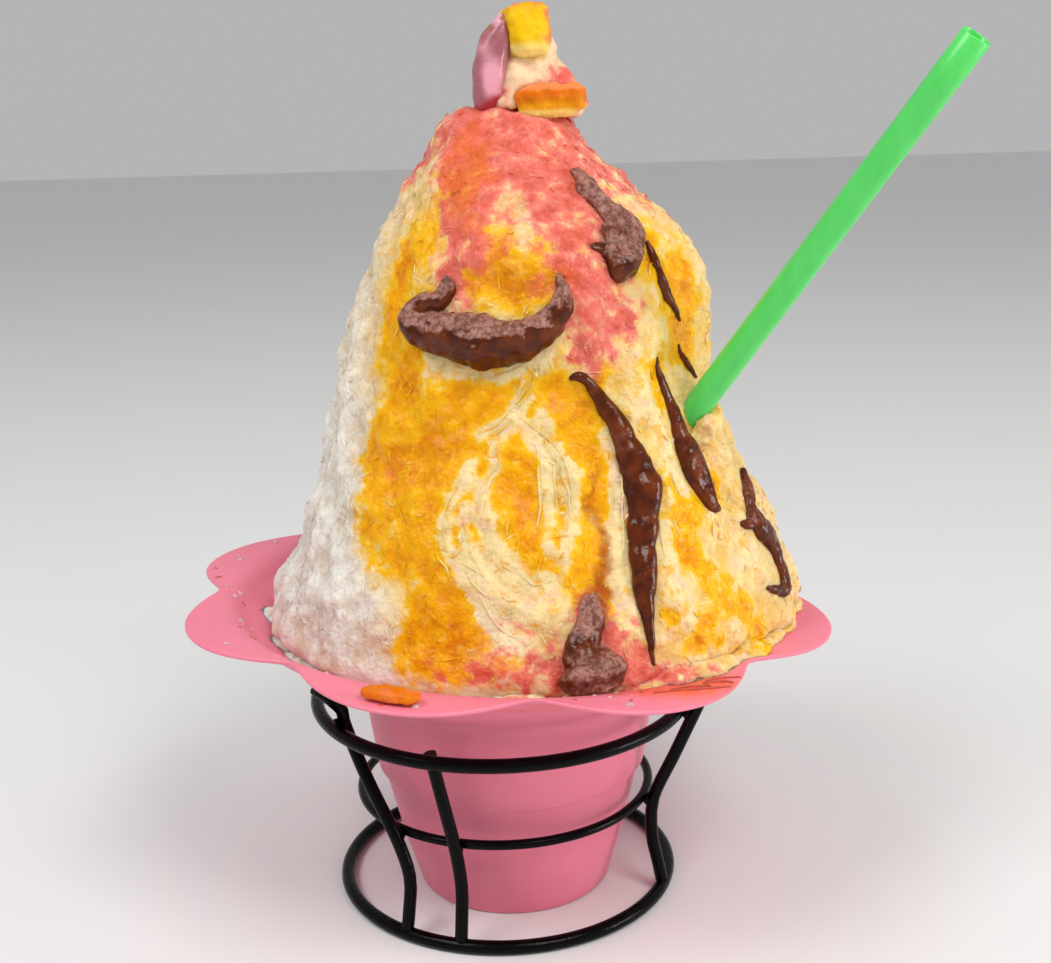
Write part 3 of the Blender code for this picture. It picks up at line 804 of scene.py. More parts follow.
def snow_finish(name, depth, spread):
    """Shaved ice: bare snow, painted greyer in the dips as shade, a creamy tint, mango and strawberry syrups that
    gather in the dips, and brown stains with one painted shadow among them.

    Light sinks in by the share depth, as far as spread.
    """
    f = Finish(name)
    blotch = f.noise(4.6, 3.0, 0.6)
    fleck = f.noise(1.9, 3.0, 0.6)
    grain = f.noise(0.7, 2.0, 0.6)
    ridge = f.values("ridge")
    # The dips raise the mottle: syrup gathers there, and the bare snow there turns greyer as painted shade.
    mottle = f.sum((blotch, 1.2), (fleck, 0.6), (grain, 0.12), (f.values("dip"), 0.45), (ridge, -0.85))
    mottle = f.math("SUBTRACT", mottle, 1.19)

    # Greyer bare snow and deeper cream: random tone, and painted shade in the dips.
    grey_and_shade = f.span(mottle, -0.4, 0.45)
    bare = f.mix(grey_and_shade, tone(238, 234, 224), tone(202, 192, 182))
    milk = f.mix(grey_and_shade, tone(236, 212, 156), tone(220, 172, 94))
    base = f.mix(f.values("milk"), bare, milk)
    creamy = f.values("milk")
    base = f.mix(f.math("MULTIPLY", creamy, f.span(f.noise(2.7, 3.0, 0.6), 0.52, 0.66, 0.0, 0.5)), base, tone(212, 184, 116))
    base = f.mix(f.math("MULTIPLY", creamy, f.span(f.noise(5.2, 3.0, 0.6), 0.5, 0.64, 0.0, 0.6)), base, tone(238, 196, 168))
    base = f.mix(f.math("MULTIPLY", creamy, f.span(f.noise(3.6, 3.0, 0.6), 0.54, 0.66, 0.0, 0.75)), base, tone(236, 176, 56))

    mango = f.values("mango")
    soak = f.math("MULTIPLY_ADD", mottle, f.span(mango, 0.02, 0.5, 0.25, 1.1), mango)
    golden = f.ramp(
        f.math("MULTIPLY", soak, 0.7),
        (0.06, tone(240, 206, 116)),
        (0.3, tone(239, 184, 16)),
        (0.58, tone(237, 168, 0)),
        (0.9, tone(220, 134, 0)),
    )
    golden = f.mix(f.span(f.noise(2.9, 3.0, 0.62), 0.59, 0.7, 0.0, 0.4), golden, tone(240, 196, 96))
    golden = f.mix(f.span(f.noise(6.5, 3.0, 0.6), 0.59, 0.69, 0.0, 0.42), golden, tone(238, 166, 92))
    colour = f.mix(f.span(soak, -0.06, 0.48), base, golden)

    berry = f.values("berry")
    drift = f.sum((f.noise(3.4, 3.0, 0.62), 1.9), (mottle, 0.4))
    drift = f.math("SUBTRACT", drift, 0.98)
    pink = f.math("MULTIPLY_ADD", drift, f.span(berry, 0.02, 0.5, 0.3, 1.3), berry)
    rosy = f.ramp(
        f.math("MULTIPLY", pink, 0.7),
        (0.1, tone(236, 166, 136)),
        (0.36, tone(232, 126, 114)),
        (0.64, tone(226, 98, 96)),
        (0.95, tone(208, 74, 60)),
    )
    rosy = f.mix(f.span(mango, 0.3, 1.1, 0.0, 0.75), rosy, tone(224, 104, 36))
    colour = f.mix(f.span(pink, 0.06, 0.72, 0.0, 0.9), colour, rosy)

    # Brown stains, and one patch of painted shadow.
    stain_and_shadow = f.span(f.sum((f.values("stain_and_shadow"), 1.1), (mottle, 0.8)), 0.1, 1.25, 0.0, 0.95)
    brown = f.mix(f.span(fleck, 0.35, 0.65), tone(148, 74, 4), tone(186, 84, 14))
    colour = f.mix(stain_and_shadow, colour, brown)
    f.plug(f.shader.inputs["Base Color"], colour)
    f.fixed(Subsurface_Weight=depth, Subsurface_Radius=(1.0, 0.8, 0.5), Subsurface_Scale=spread)
    f.fixed(Specular_IOR_Level=0.16)
    wet = f.math("MAXIMUM", mango, berry)
    f.plug(f.shader.inputs["Roughness"], f.span(f.sum((wet, 0.6), (fleck, 0.8)), 0.3, 0.9, 0.5, 0.2))
    crystals = f.sum((f.cells(1.2), -0.7), (grain, 0.3), (fleck, 1.0))
    f.bump(crystals, 0.36)
    return f.material


def plastic_finish():
    """Pink moulded plastic, with a faint waviness and orange-red syrup run out over its brim."""
    f = Finish("pink_plastic")
    colour = f.mix(f.noise(24.0, 2.0), tone(232, 122, 146), tone(240, 134, 156))
    wet = f.sum((f.values("syrup"), 1.0), (f.noise(4.0, 4.0, 0.65), 0.8))
    wet = f.span(wet, 0.62, 1.25)
    colour = f.mix(wet, colour, tone(238, 104, 80))
    f.plug(f.shader.inputs["Base Color"], colour)
    f.plug(f.shader.inputs["Roughness"], f.math("MULTIPLY_ADD", wet, -0.22, 0.42))
    f.fixed(Specular_IOR_Level=0.3)
    f.fixed(Subsurface_Weight=0.12, Subsurface_Radius=(1.0, 0.4, 0.4), Subsurface_Scale=1.5 * MM)
    f.bump(f.sum((f.noise(9.0, 2.0), 1.0), (f.noise(0.5, 2.0), 0.03)), 0.5)
    return f.material


def chocolate_finish():
    """Chocolate sauce: dark and glossy, with grainy mauve frost on it, which on its upward faces is also a painted
    sheen of light from above.
    """
    f = Finish("chocolate")
    mottle = f.noise(3.4, 2.0, 0.5)
    streak = f.noise(1.6, 3.0, 0.6)
    speckle = f.noise(0.7, 3.0, 0.6)
    body = f.mix(f.span(mottle, 0.3, 0.7), tone(66, 20, 0), tone(102, 40, 0))
    # The pale mauve is real frost and, on upward faces, a painted sheen of light from above.
    frost_and_sheen = f.sum((f.values("frost_and_sheen"), 1.0), (mottle, 0.8), (streak, 0.5), (speckle, 0.2))
    frost_and_sheen = f.span(frost_and_sheen, 1.0, 1.85)
    pale = f.mix(f.span(f.sum((streak, 0.6), (speckle, 0.5)), 0.42, 0.68), tone(106, 58, 40), tone(168, 118, 106))
    f.plug(f.shader.inputs["Base Color"], f.mix(frost_and_sheen, body, pale))
    f.plug(f.shader.inputs["Roughness"], f.math("MULTIPLY_ADD", frost_and_sheen, 0.3, 0.16))
    f.fixed(Specular_IOR_Level=0.28)
    f.bump(f.sum((mottle, 0.6), (streak, 0.5), (speckle, 0.08)), 0.26)
    return f.material


def mango_finish():
    """Ripe mango: yellow flesh, deeper orange underneath, and a peach-pink tinge of syrup along its edges."""
    f = Finish("mango")
    mottle = f.noise(2.6, 3.0)
    deep = f.math("SUBTRACT", f.sum((f.values("deep"), 0.7), (mottle, 0.42)), 0.21)
    colour = f.ramp(
        deep,
        (0.0, tone(236, 190, 4)),
        (0.32, tone(230, 160, 6)),
        (0.64, tone(214, 120, 4)),
        (0.95, tone(238, 88, 8)),
    )
    rind = f.span(f.sum((f.values("rind"), 1.0), (mottle, 0.7)), 0.6, 1.2)
    colour = f.mix(rind, colour, tone(228, 134, 74))
    milky = f.span(f.sum((f.values("milky"), 1.0), (mottle, 0.5)), 0.45, 1.2)
    colour = f.mix(milky, colour, tone(244, 214, 122))
    f.plug(f.shader.inputs["Base Color"], colour)
    f.plug(f.shader.inputs["Roughness"], f.span(f.noise(1.4), 0.3, 0.7, 0.26, 0.44))
    f.fixed(Specular_IOR_Level=0.16)
    f.fixed(Subsurface_Weight=0.4, Subsurface_Radius=(1.0, 0.6, 0.2), Subsurface_Scale=2.0 * MM)
    f.bump(f.sum((f.noise(1.6, 3.0), 1.0), (f.noise(0.4, 2.0), 0.2)), 0.3)
    return f.material


def jelly_finish():
    """Cloudy strawberry jelly: mauve, with a pale bulb low down that holds a painted highlight, a deep pink foot and a
    brown fleck near its top.
    """
    f = Finish("pink_jelly")
    cloud = f.noise(3.0, 2.0)
    colour = f.mix(cloud, tone(150, 82, 92), tone(178, 112, 120))
    # The pale bulb, with a painted highlight.
    pale = f.span(f.sum((f.values("pale"), 1.0), (cloud, 0.4)), 0.35, 1.1)
    colour = f.mix(pale, colour, tone(226, 160, 176))
    deep = f.span(f.sum((f.values("deep"), 1.0), (cloud, 0.4)), 0.35, 0.9)
    colour = f.mix(deep, colour, tone(176, 50, 62))
    colour = f.mix(f.span(f.values("spot"), 0.3, 0.9), colour, tone(150, 100, 66))
    f.plug(f.shader.inputs["Base Color"], colour)
    f.fixed(Roughness=0.26, Subsurface_Weight=0.5, Subsurface_Radius=(1.0, 0.5, 0.5), Subsurface_Scale=2.4 * MM)
    f.fixed(Coat_Weight=0.15, Coat_Roughness=0.15, Specular_IOR_Level=0.35)
    f.bump(f.noise(3.0, 2.0), 0.3)
    return f.material


def cream_finish():
    """Condensed-milk cream, tinged with strawberry and mango syrup."""
    f = Finish("cream")
    blotch = f.noise(2.4, 3.0)
    colour = f.mix(blotch, tone(232, 190, 150), tone(248, 222, 184))
    yellow = f.span(f.sum((f.values("mango"), 1.0), (blotch, 0.5)), 0.4, 1.2)
    colour = f.mix(yellow, colour, tone(236, 196, 92))
    pink = f.span(f.sum((f.values("berry"), 1.0), (blotch, 1.6)), 0.9, 1.75)
    colour = f.mix(pink, colour, tone(222, 100, 88))
    f.plug(f.shader.inputs["Base Color"], colour)
    f.fixed(Roughness=0.4, Subsurface_Weight=0.4, Subsurface_Radius=(1.0, 0.7, 0.5), Subsurface_Scale=2.0 * MM)
    f.fixed(Specular_IOR_Level=0.3)
    f.bump(f.sum((f.noise(1.8, 3.0), 1.0), (f.noise(0.5, 2.0), 0.25)), 0.3)
    return f.material


def green_finish():
    """Thin green plastic that lets a little light through."""
    f = Finish("green_plastic")
    colour = f.mix(f.noise(3.0, 2.0, 0.5, (1.0, 1.0, 0.15)), tone(70, 204, 84), tone(96, 222, 110))
    f.plug(f.shader.inputs["Base Color"], colour)
    f.fixed(Roughness=0.3, Subsurface_Weight=0.2, Subsurface_Radius=(0.3, 1.0, 0.4), Subsurface_Scale=1.2 * MM)
    f.bump(f.noise(6.0, 1.0), 0.1)
    return f.material


def wire_finish():
    """Black enamel on wire, with a slight unevenness."""
    f = Finish("black_wire")
    mottle = f.noise(5.0, 3.0)
    f.plug(f.shader.inputs["Base Color"], f.mix(mottle, tone(1, 1, 1), tone(6, 5, 5)))
    f.plug(f.shader.inputs["Roughness"], f.span(mottle, 0.3, 0.7, 0.16, 0.26))
    f.fixed(Specular_IOR_Level=0.1)
    f.bump(f.noise(1.4, 2.0), 0.12)
    return f.material


def water_finish():
    """Melted ice in clear drops."""
    f = Finish("melt_water")
    f.plug(f.shader.inputs["Base Color"], f.mix(f.noise(3.0), tone(255, 236, 240), tone(255, 255, 255)))
    f.fixed(Roughness=0.04, IOR=1.33, Transmission_Weight=0.7)
    return f.material


def thread_finish():
    """Red-brown fruit fibre, wet with syrup."""
    f = Finish("fruit_fibre")
    f.plug(f.shader.inputs["Base Color"], f.mix(f.noise(2.5, 3.0), tone(160, 62, 42), tone(212, 92, 66)))
    f.fixed(Roughness=0.3)
    f.bump(f.noise(0.5, 2.0), 0.1)
    return f.material


# ---------------------------------------------------------------- cup


def inset_profile(profile, depth):
    """A profile moved square to itself, towards the inside of the cup."""
    last = len(profile) - 1
    found = []
    for i, (r, z) in enumerate(profile):
        before = profile[max(0, i - 1)]
        after = profile[min(last, i + 1)]
        along = Vector((after[0] - before[0], after[1] - before[1])).normalized()
        if i == last:
            along = Vector((1.0, 0.0))
        found.append((r - along.y * depth, z + along.x * depth))
    return found


def petal_share(angle):
    """1 in the middle of a petal, 0 in the notch between two, rounded off a little there."""
    wave = math.cos(PETALS / 2 * (angle - PETAL_TURN))
    return (math.hypot(wave, NOTCH_ROUND) - NOTCH_ROUND) / (math.hypot(1.0, NOTCH_ROUND) - NOTCH_ROUND)


def petal_edge(angle):
    return PETAL_R * (1 - NOTCH_SHARE * (1 - petal_share(angle)) ** 1.1)


def brim_lift(angle, share):
    return share * NOTCH_LIFT * (1 - petal_share(angle))


def brim_row(inward, rise, angles):
    """A row of the brim at a distance in from the petals' edge."""
    found = []
    for a in angles:
        r = petal_edge(a) - inward
        share = (r - LIP_R) / (petal_edge(a) - LIP_R)
        found.append((r * math.cos(a), r * math.sin(a), RIM_Z + rise + brim_lift(a, share)))
    return found


def across_brim(share, rise, angles):
    """A row of the brim at a share of the way from the lip to just inside its edge."""
    found = []
    for a in angles:
        reach = petal_edge(a)
        r = LIP_R + share * (reach - 0.6 - LIP_R)
        lift = brim_lift(a, (r - LIP_R) / (reach - LIP_R))
        found.append((r * math.cos(a), r * math.sin(a), RIM_Z + rise + lift))
    return found


def round_row(radius, height, angles):
    return [(radius * math.cos(a), radius * math.sin(a), height) for a in angles]


def make_cup(finish):
    angles = [PETAL_TURN + 2 * math.pi * k / CUP_SECTIONS for k in range(CUP_SECTIONS)]
    outside = [p for p in smooth_profile()]
    inside = inset_profile(outside, WALL)
    rows = [round_row(r, z, angles) for r, z in outside]
    rows += [across_brim(s, 0.0, angles) for s in (0.25, 0.5, 0.75, 1.0)]
    for turn in (-60, -20, 20, 60):
        t = math.radians(turn)
        rows.append(brim_row(0.5 - 0.5 * math.cos(t), 0.5 + 0.5 * math.sin(t), angles))
    rows += [across_brim(s, WALL, angles) for s in (1.0, 0.75, 0.5, 0.25)]
    rows += [round_row(r, z, angles) for r, z in reversed(inside)]
    points, faces = skinned_rows([[shift(settle(p)) for p in row] for row in rows])
    cup = mesh_object("cup_skin", points, faces, finish, sharp=35.0)
    at = positions(cup)
    x = at[:, 0] - AXIS_X
    spill = np.exp(-(((x - 37.0) / 17.0) ** 2) - ((at[:, 1] + 60.0) / 9.0) ** 2)
    spill += 0.45 * np.exp(-(((x - 6.0) / 20.0) ** 2) - ((at[:, 1] + 66.0) / 5.0) ** 2)
    set_values(cup, "syrup", spill * (at[:, 2] > RIM_Z - 10.0))
    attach(cup, "root")
    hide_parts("cup")
    return cup


def smooth_profile():
    """The cup's outside with its straight runs kept and its flare and edges rounded."""
    body = list(CUP_PROFILE[:8])
    flare = smooth_path(CUP_PROFILE[7:], 1.6)
    return [*body, *flare[1:]]


def bowl_height(cup_tree, x, y):
    """The height of the cup's upper surface over a point of the ground plan."""
    hit = cup_tree.ray_cast(Vector((x + AXIS_X, y, 120.0)) * MM, Vector((0.0, 0.0, -1.0)))[0]
    return hit.z / MM if hit else None


# ---------------------------------------------------------------- ice


def patch_sum(azimuth, height, size, patches):
    """How much of a set of patches lies on each point."""
    total = np.zeros(len(azimuth))
    for angle, level, half_width, half_height, strength in patches:
        turn = (azimuth - math.radians(angle) + math.pi) % (2 * math.pi) - math.pi
        across = turn * size / half_width
        up = (height - level) / half_height
        total += strength * np.exp(-(across**2) - up**2)
    return total


def ridge_sum(azimuth, height, size):
    """1 along the pale ridges, fading to 0 at their sides."""
    total = np.zeros(len(azimuth))
    for line in PALE_RIDGES:
        path = smooth_path([(a, h) for a, h in line], 1.0)
        for a, h in path:
            turn = (azimuth - math.radians(a) + math.pi) % (2 * math.pi) - math.pi
            gap = ((turn * size) ** 2 + (height - h) ** 2) / RIDGE_HALF**2
            total = np.maximum(total, np.exp(-gap))
    return total


def straw_plug():
    """A rod that fills the straw's bore, which is too fine for the even skin."""
    line = [shift(lean(STRAW_ENTRY + STRAW_LEAN * reach)) for reach in (-STRAW_INSIDE - 1.0, 0.5)]
    return skinned_rows(tube(line, [STRAW_R + 1.2] * 2, 16))


def near_sauce(points):
    """1 where a piece of sauce lies on the ice, fading to 0 a little outside it."""
    found = np.zeros(len(points))
    for name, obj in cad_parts.items():
        if not name.startswith("sauce"):
            continue
        tree = tree_of(obj)
        low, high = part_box(name)
        low = np.array(low) / MM - 4.0
        high = np.array(high) / MM + 4.0
        for i in np.flatnonzero(np.all((points > low) & (points < high), axis=1)):
            hit = tree.find_nearest(Vector(points[i]) * MM)[3] / MM
            found[i] = max(found[i], 1.0 - smooth_step(0.8, 2.6, np.array(hit)))
    return found


def set_syrups(obj, ridge, dip):
    """Keeps what soaks each point of a piece of snow: its place says which syrups, with a ragged edge."""
    at = positions(obj)
    azimuth, height, size = ice_places(at)
    azimuth = azimuth + (3.6 * noise_at(at, 8.0, 11.0) + 2.2 * noise_at(at, 3.2, 5.0)) / size
    height = height + 3.6 * noise_at(at, 8.0, 23.0) + 2.2 * noise_at(at, 3.2, 17.0)
    bare = patch_sum(azimuth, height, size, BARE_SNOW)
    rough = 0.42 * noise_at(at, 4.6, 31.0) + 0.34 * noise_at(at, 2.1, 37.0)
    spread = 0.5 * noise_at(at, 5.4, 43.0) + 0.34 * noise_at(at, 2.3, 47.0)
    mango = patch_sum(azimuth, height, size, MANGO_SYRUP) - 0.6 * bare
    berry = patch_sum(azimuth, height, size, BERRY_SYRUP) - 0.6 * bare
    mango = np.minimum(mango, 1.0) + rough * smooth_step(0.1, 0.7, mango)
    berry = np.minimum(berry, 0.92) + spread * smooth_step(0.1, 0.7, berry)
    set_values(obj, "mango", np.clip(mango, 0.0, 1.4))
    set_values(obj, "berry", np.clip(berry, 0.0, 1.4))
    set_values(obj, "milk", smooth_step(0.05, 0.95, patch_sum(azimuth, height, size, CREAM_TINT) - 0.3 * bare))
    # Stains, and one painted shadow.
    set_values(obj, "stain_and_shadow", patch_sum(azimuth, height, size, BROWN_STAIN_AND_SHADOW))
    set_values(obj, "ridge", ridge)
    # How deep each point lies in a dip, where syrup gathers and where the material paints shade.
    set_values(obj, "dip", dip)


def make_ice(finish):
    """The body of shaved ice: lumps, clumps and flakes in relief, with the values that its material reads."""
    ice = refined("ice_core", "ice", finish, 3.95, smoothing=1, levels=2, extra=straw_plug())
    at = positions(ice)
    out = normals(ice)
    azimuth, height, size = ice_places(at)
    loose = smooth_step(-5.0, 2.0, height)
    stretched = at * np.array((1.0, 1.0, 0.6))
    lumps = noise_at(at, 10.0)
    clumps = puffs_at(at + 1.6 * lumps[:, None], 4.2)
    flakes = ridges_at(stretched, 3.2)
    grit = noise_at(at, 1.4)
    ridge = ridge_sum(azimuth, height, size)
    relief = 2.1 * lumps + 1.3 * clumps + 0.4 * flakes + 0.22 * grit
    under = near_sauce(at)
    relief = relief * (1 - 0.75 * under) - 0.1 * under + RIDGE_RISE * ridge * (1 - under)
    set_positions(ice, at + out * (relief * loose)[:, None])
    # Deeper hollows in the relief get more pooled syrup and more painted shade.
    set_syrups(ice, ridge, 0.5 - relief / 2.4)
    return ice


def make_slush(ice_tree, cup_tree, finish):
    """Wet snow that has slid down around the foot of the ice, more of it at the front right."""
    line = []
    radii = []
    for k in range(SLUSH_STEPS):
        azimuth = 360.0 * k / SLUSH_STEPS
        spot, way = place_on_ice(ice_tree, azimuth, SLUSH_LEVEL)
        flat = Vector((way.x, way.y, 0.0)).normalized()
        wobble = noise.noise(Vector(spot) / 6.0)
        spot = spot + flat * (0.4 + 1.2 * wobble)
        floor = cup_tree.ray_cast(Vector((spot.x, spot.y, 120.0)) * MM, Vector((0.0, 0.0, -1.0)))[0]
        line.append(Vector((spot.x, spot.y, floor.z / MM + 0.5)))
        more = math.exp(-(((azimuth - 292.0) / 26.0) ** 2))
        radii.append(1.7 + 0.9 * wobble + 1.3 * more)
    rows = []
    last = len(line)
    for i, middle in enumerate(line):
        along = (line[(i + 1) % last] - line[i - 1]).normalized()
        side = along.cross(Vector((0.0, 0.0, 1.0))).normalized()
        above = side.cross(along)
        turns = [2 * math.pi * k / 12 for k in range(12)]
        rows.append([middle + radii[i] * (side * 1.5 * math.cos(t) + above * math.sin(t)) for t in turns])
    slush = mesh_object("ice_slush", *skinned_rows(rows, closed=True), finish)
    slush = evened(slush, 0.85, smoothing=2, levels=1)
    at = positions(slush)
    relief = 0.7 * noise_at(at, 4.0) + 0.9 * puffs_at(at, 2.6) + 0.35 * noise_at(at, 1.2)
    at = at + normals(slush) * relief[:, None]
    for p in at:
        floor = cup_tree.ray_cast(Vector((p[0], p[1], 120.0)) * MM, Vector((0.0, 0.0, -1.0)))[0]
        p[2] = max(p[2], floor.z / MM + 0.05) if floor else p[2]
    set_positions(slush, at)
    set_syrups(slush, np.zeros(len(at)), 0.5 - relief / 2.0)
    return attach(slush, "root")


def make_straw_snow(finish):
    """The lump of snow that the straw pushed up where it goes in."""
    entry = shift(lean(STRAW_ENTRY))
    skins = []
    for place, radius in STRAW_SNOW:
        ball = weld_skin(entry + Vector(place), STRAW_LEAN, radius)
        skins.append(ball)
    snow = evened(mesh_object("straw_snow", *joined(skins), finish), 0.7, smoothing=3, levels=1)
    at = positions(snow)
    relief = 0.9 * noise_at(at, 3.4) + 0.5 * puffs_at(at, 2.2) + 0.3 * noise_at(at, 1.1)
    set_positions(snow, at + normals(snow) * relief[:, None])
    set_syrups(snow, np.zeros(len(at)), 0.5 - relief / 2.0)
    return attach(snow, "root")


VALUES = ("mango", "berry", "milk", "stain_and_shadow", "ridge", "dip")


def mesh_values(obj):
    found = {}
    for name in VALUES:
        values = np.empty(len(obj.data.vertices), np.float32)
        obj.data.attributes[name].data.foreach_get("value", values)
        found[name] = values
    return found


def scatter_places(obj, count, rng, lowest):
    """Random places on a mesh, as many for each piece of its area: (points, normals, nearest vertices)."""
    mesh = obj.data
    at = positions(obj)
    out = normals(obj)
    mesh.calc_loop_triangles()
    corners = np.empty(len(mesh.loop_triangles) * 3, np.int32)
    mesh.loop_triangles.foreach_get("vertices", corners)
    corners = corners.reshape(-1, 3)
    corners = corners[upright(at[corners[:, 0]])[:, 2] > lowest]
    a, b, c = (at[corners[:, k]] for k in range(3))
    area = np.linalg.norm(np.cross(b - a, c - a), axis=1)
    chosen = corners[rng.choice(len(corners), count, p=area / area.sum())]
    weights = rng.dirichlet((1.0, 1.0, 1.0), count)
    points = sum(weights[:, k : k + 1] * at[chosen[:, k]] for k in range(3))
    ways = sum(weights[:, k : k + 1] * out[chosen[:, k]] for k in range(3))
    ways /= np.linalg.norm(ways, axis=1)[:, None]
    return points, ways, chosen[:, 0]


def add_values(obj, source, picked, repeats, **changes):
    """Gives each scattered thing the ice's values where it lies."""
    for name in VALUES:
        values = np.repeat(source[name][picked], repeats)
        if name in changes:
            values = values * changes[name][0] + changes[name][1]
        set_values(obj, name, values)


def make_grains(ice, finish):
    """Loose flakes of ice on the surface: flat, pointed chips, half sunk in the snow."""
    rng = np.random.default_rng(7)
    points, ways, picked = scatter_places(ice, GRAINS, rng, 0.0)
    count = len(points)
    first = np.cross(ways, rng.normal(size=(count, 3)))
    first /= np.linalg.norm(first, axis=1)[:, None]
    tilt = rng.normal(0.0, 0.45, (count, 1))
    second = np.cross(ways, first) + tilt * ways
    second /= np.linalg.norm(second, axis=1)[:, None]
    third = np.cross(first, second)
    length = rng.lognormal(-0.75, 0.36, (count, 1))
    width = length * rng.uniform(0.35, 0.8, (count, 1))
    thick = length * rng.uniform(0.14, 0.3, (count, 1))
    middle = points + ways * thick * rng.uniform(-0.2, 0.9, (count, 1))
    skew = rng.uniform(-0.4, 0.4, (count, 1))
    chips = np.stack(
        (
            middle + first * length,
            middle + second * width + first * skew,
            middle - first * length * 0.9,
            middle - second * width * 0.8,
            middle + third * thick,
            middle - third * thick,
        ),
        axis=1,
    )
    sides = [(0, 1, 4), (1, 2, 4), (2, 3, 4), (3, 0, 4), (1, 0, 5), (2, 1, 5), (3, 2, 5), (0, 3, 5)]
    faces = (np.arange(count)[:, None, None] * 6 + np.array(sides)[None]).reshape(-1, 3)
    mesh = bpy.data.meshes.new("ice_grains")
    mesh.from_pydata(chips.reshape(-1, 3) * MM, [], faces.tolist())
    mesh.materials.append(finish)
    grains = link(bpy.data.objects.new("ice_grains", mesh))
    # The grains take the ice's dip value for pooled syrup and painted shade, a little weaker.
    add_values(grains, mesh_values(ice), picked, 6, dip=(0.8, 0.0))
    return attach(grains, "root")


def strand(tree, spot, way, along, bend, length, width, lift, pieces=7):
    """A thin strand of ice laid along the surface from a spot, with tapered ends."""
    line = []
    for k in range(pieces):
        line.append(spot.copy())
        along = (along + way.cross(along) * bend).normalized()
        hit, way = tree.find_nearest((spot + along * length / (pieces - 1)) * MM)[:2]
        spot = hit / MM + way * lift
    radii = [width * (0.25 + 0.75 * math.sin(math.pi * (k + 0.5) / pieces)) for k in range(pieces)]
    return skinned_rows(tube(line, radii, 5))


def make_shreds(ice, finish):
    """Curved shreds of ice that lie along the surface, and wisps that run with the pale ridges."""
    rng = np.random.default_rng(11)
    tree = tree_of(ice)
    skins = []
    points, ways, picked = scatter_places(ice, SHREDS, rng, 3.0)
    for start, way in zip(points, ways):
        way = Vector(way)
        down = (Vector((0.0, 0.0, -1.0)) + way * way.z).normalized()
        turn = rng.normal(0.0, 0.7)
        along = down * math.cos(turn) + way.cross(down) * math.sin(turn)
        spot = Vector(start) + way * rng.uniform(-0.05, 0.15)
        size = rng.uniform(2.0, 5.0), rng.uniform(0.12, 0.26)
        skins.append(strand(tree, spot, way, along, rng.normal(0.0, 0.18), *size, rng.uniform(-0.05, 0.2)))
    for line in PALE_RIDGES:
        for _ in range(STRANDS):
            path = smooth_path([(a, h) for a, h in line], 1.4)
            first = int(rng.integers(0, max(1, len(path) - 4)))
            last = int(rng.integers(min(len(path), first + 4), len(path) + 1))
            aside = rng.normal(0.0, 1.3), rng.normal(0.0, 1.3)
            wisp = []
            for a, h in path[first:last]:
                spot, way = place_on_ice(tree, a + aside[0], h + aside[1])
                wisp.append(spot + way * rng.uniform(-0.04, 0.14))
            if len(wisp) < 3:
                continue
            width = rng.uniform(0.16, 0.36)
            radii = [width * (0.25 + 0.75 * math.sin(math.pi * (k + 0.5) / len(wisp))) for k in range(len(wisp))]
            skins.append(skinned_rows(tube(wisp, radii, 5)))
    shreds = mesh_object("ice_shreds", *joined(skins), finish, sharp=80.0)
    count = len(shreds.data.vertices)
    scattered = np.arange(count) < 35 * SHREDS
    set_syrups(shreds, np.where(scattered, 0.3, 0.62), np.full(count, 0.4))
    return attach(shreds, "root")


# ---------------------------------------------------------------- sauce


def run_skin(tree, stations, flat=0.7, sunk=1.4, raised=0.25):
    """A domed run of sauce that follows the snow, with its sides pressed into it: its skin."""
    path = smooth_path([(math.radians(a) * 45.0, h, w, t) for a, h, w, t in stations], 0.8)
    spots = [place_on_ice(tree, math.degrees(a / 45.0), h) for a, h, w, t in path]
    last = len(path) - 1
    rows = []
    for i, (a, h, width, thick) in enumerate(path):
        spot, way = spots[i]
        along = (spots[min(last, i + 1)][0] - spots[max(0, i - 1)][0]).normalized()
        side = way.cross(along).normalized()
        wobble = 1 + 0.16 * noise.noise(spot / 3.0)
        row = []
        for k in range(14):
            t = 2 * math.pi * k / 14
            rise = flat * thick * math.sin(t) if math.sin(t) > 0 else sunk * math.sin(t)
            row.append(spot + side * (max(0.2, width * wobble) / 2 * math.cos(t)) + way * (rise * wobble + raised))
        rows.append(row)
    return skinned_rows(rows)


def make_sauce(node, ice_tree, finish):
    """A run of sauce over the snow, with soft folds, a ragged edge, and frost where it faces up that is also a painted
    sheen of light from above.
    """
    flat, folding, trailing = FOLDS[node]
    skin = run_skin(ice_tree, SAUCES[node], flat)
    sauce = evened(mesh_object(node + "_gloss", *skin, finish), 0.42, smoothing=3)
    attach(sauce, "root")
    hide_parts(node)
    at = positions(sauce)
    out = normals(sauce)
    flow = at / np.array((1.0, 1.0, trailing))
    folds = 0.6 * noise_at(flow, 4.6, 3.0) + 0.34 * noise_at(flow, 2.0, 9.0) + 0.1 * noise_at(at, 0.9, 6.0)
    set_positions(sauce, at + out * (folding * folds)[:, None])
    out = normals(sauce)
    up, all_over = FROST_AND_TOP_SHEEN[node]
    more = patch_sum(*ice_places(at), FROST_PATCHES.get(node, ()))
    # Frost all over, and where the sauce faces up, frost with a painted sheen of light from above.
    set_values(sauce, "frost_and_sheen", up * smooth_step(-0.05, 0.5, out[:, 2]) + all_over + more)
    return sauce


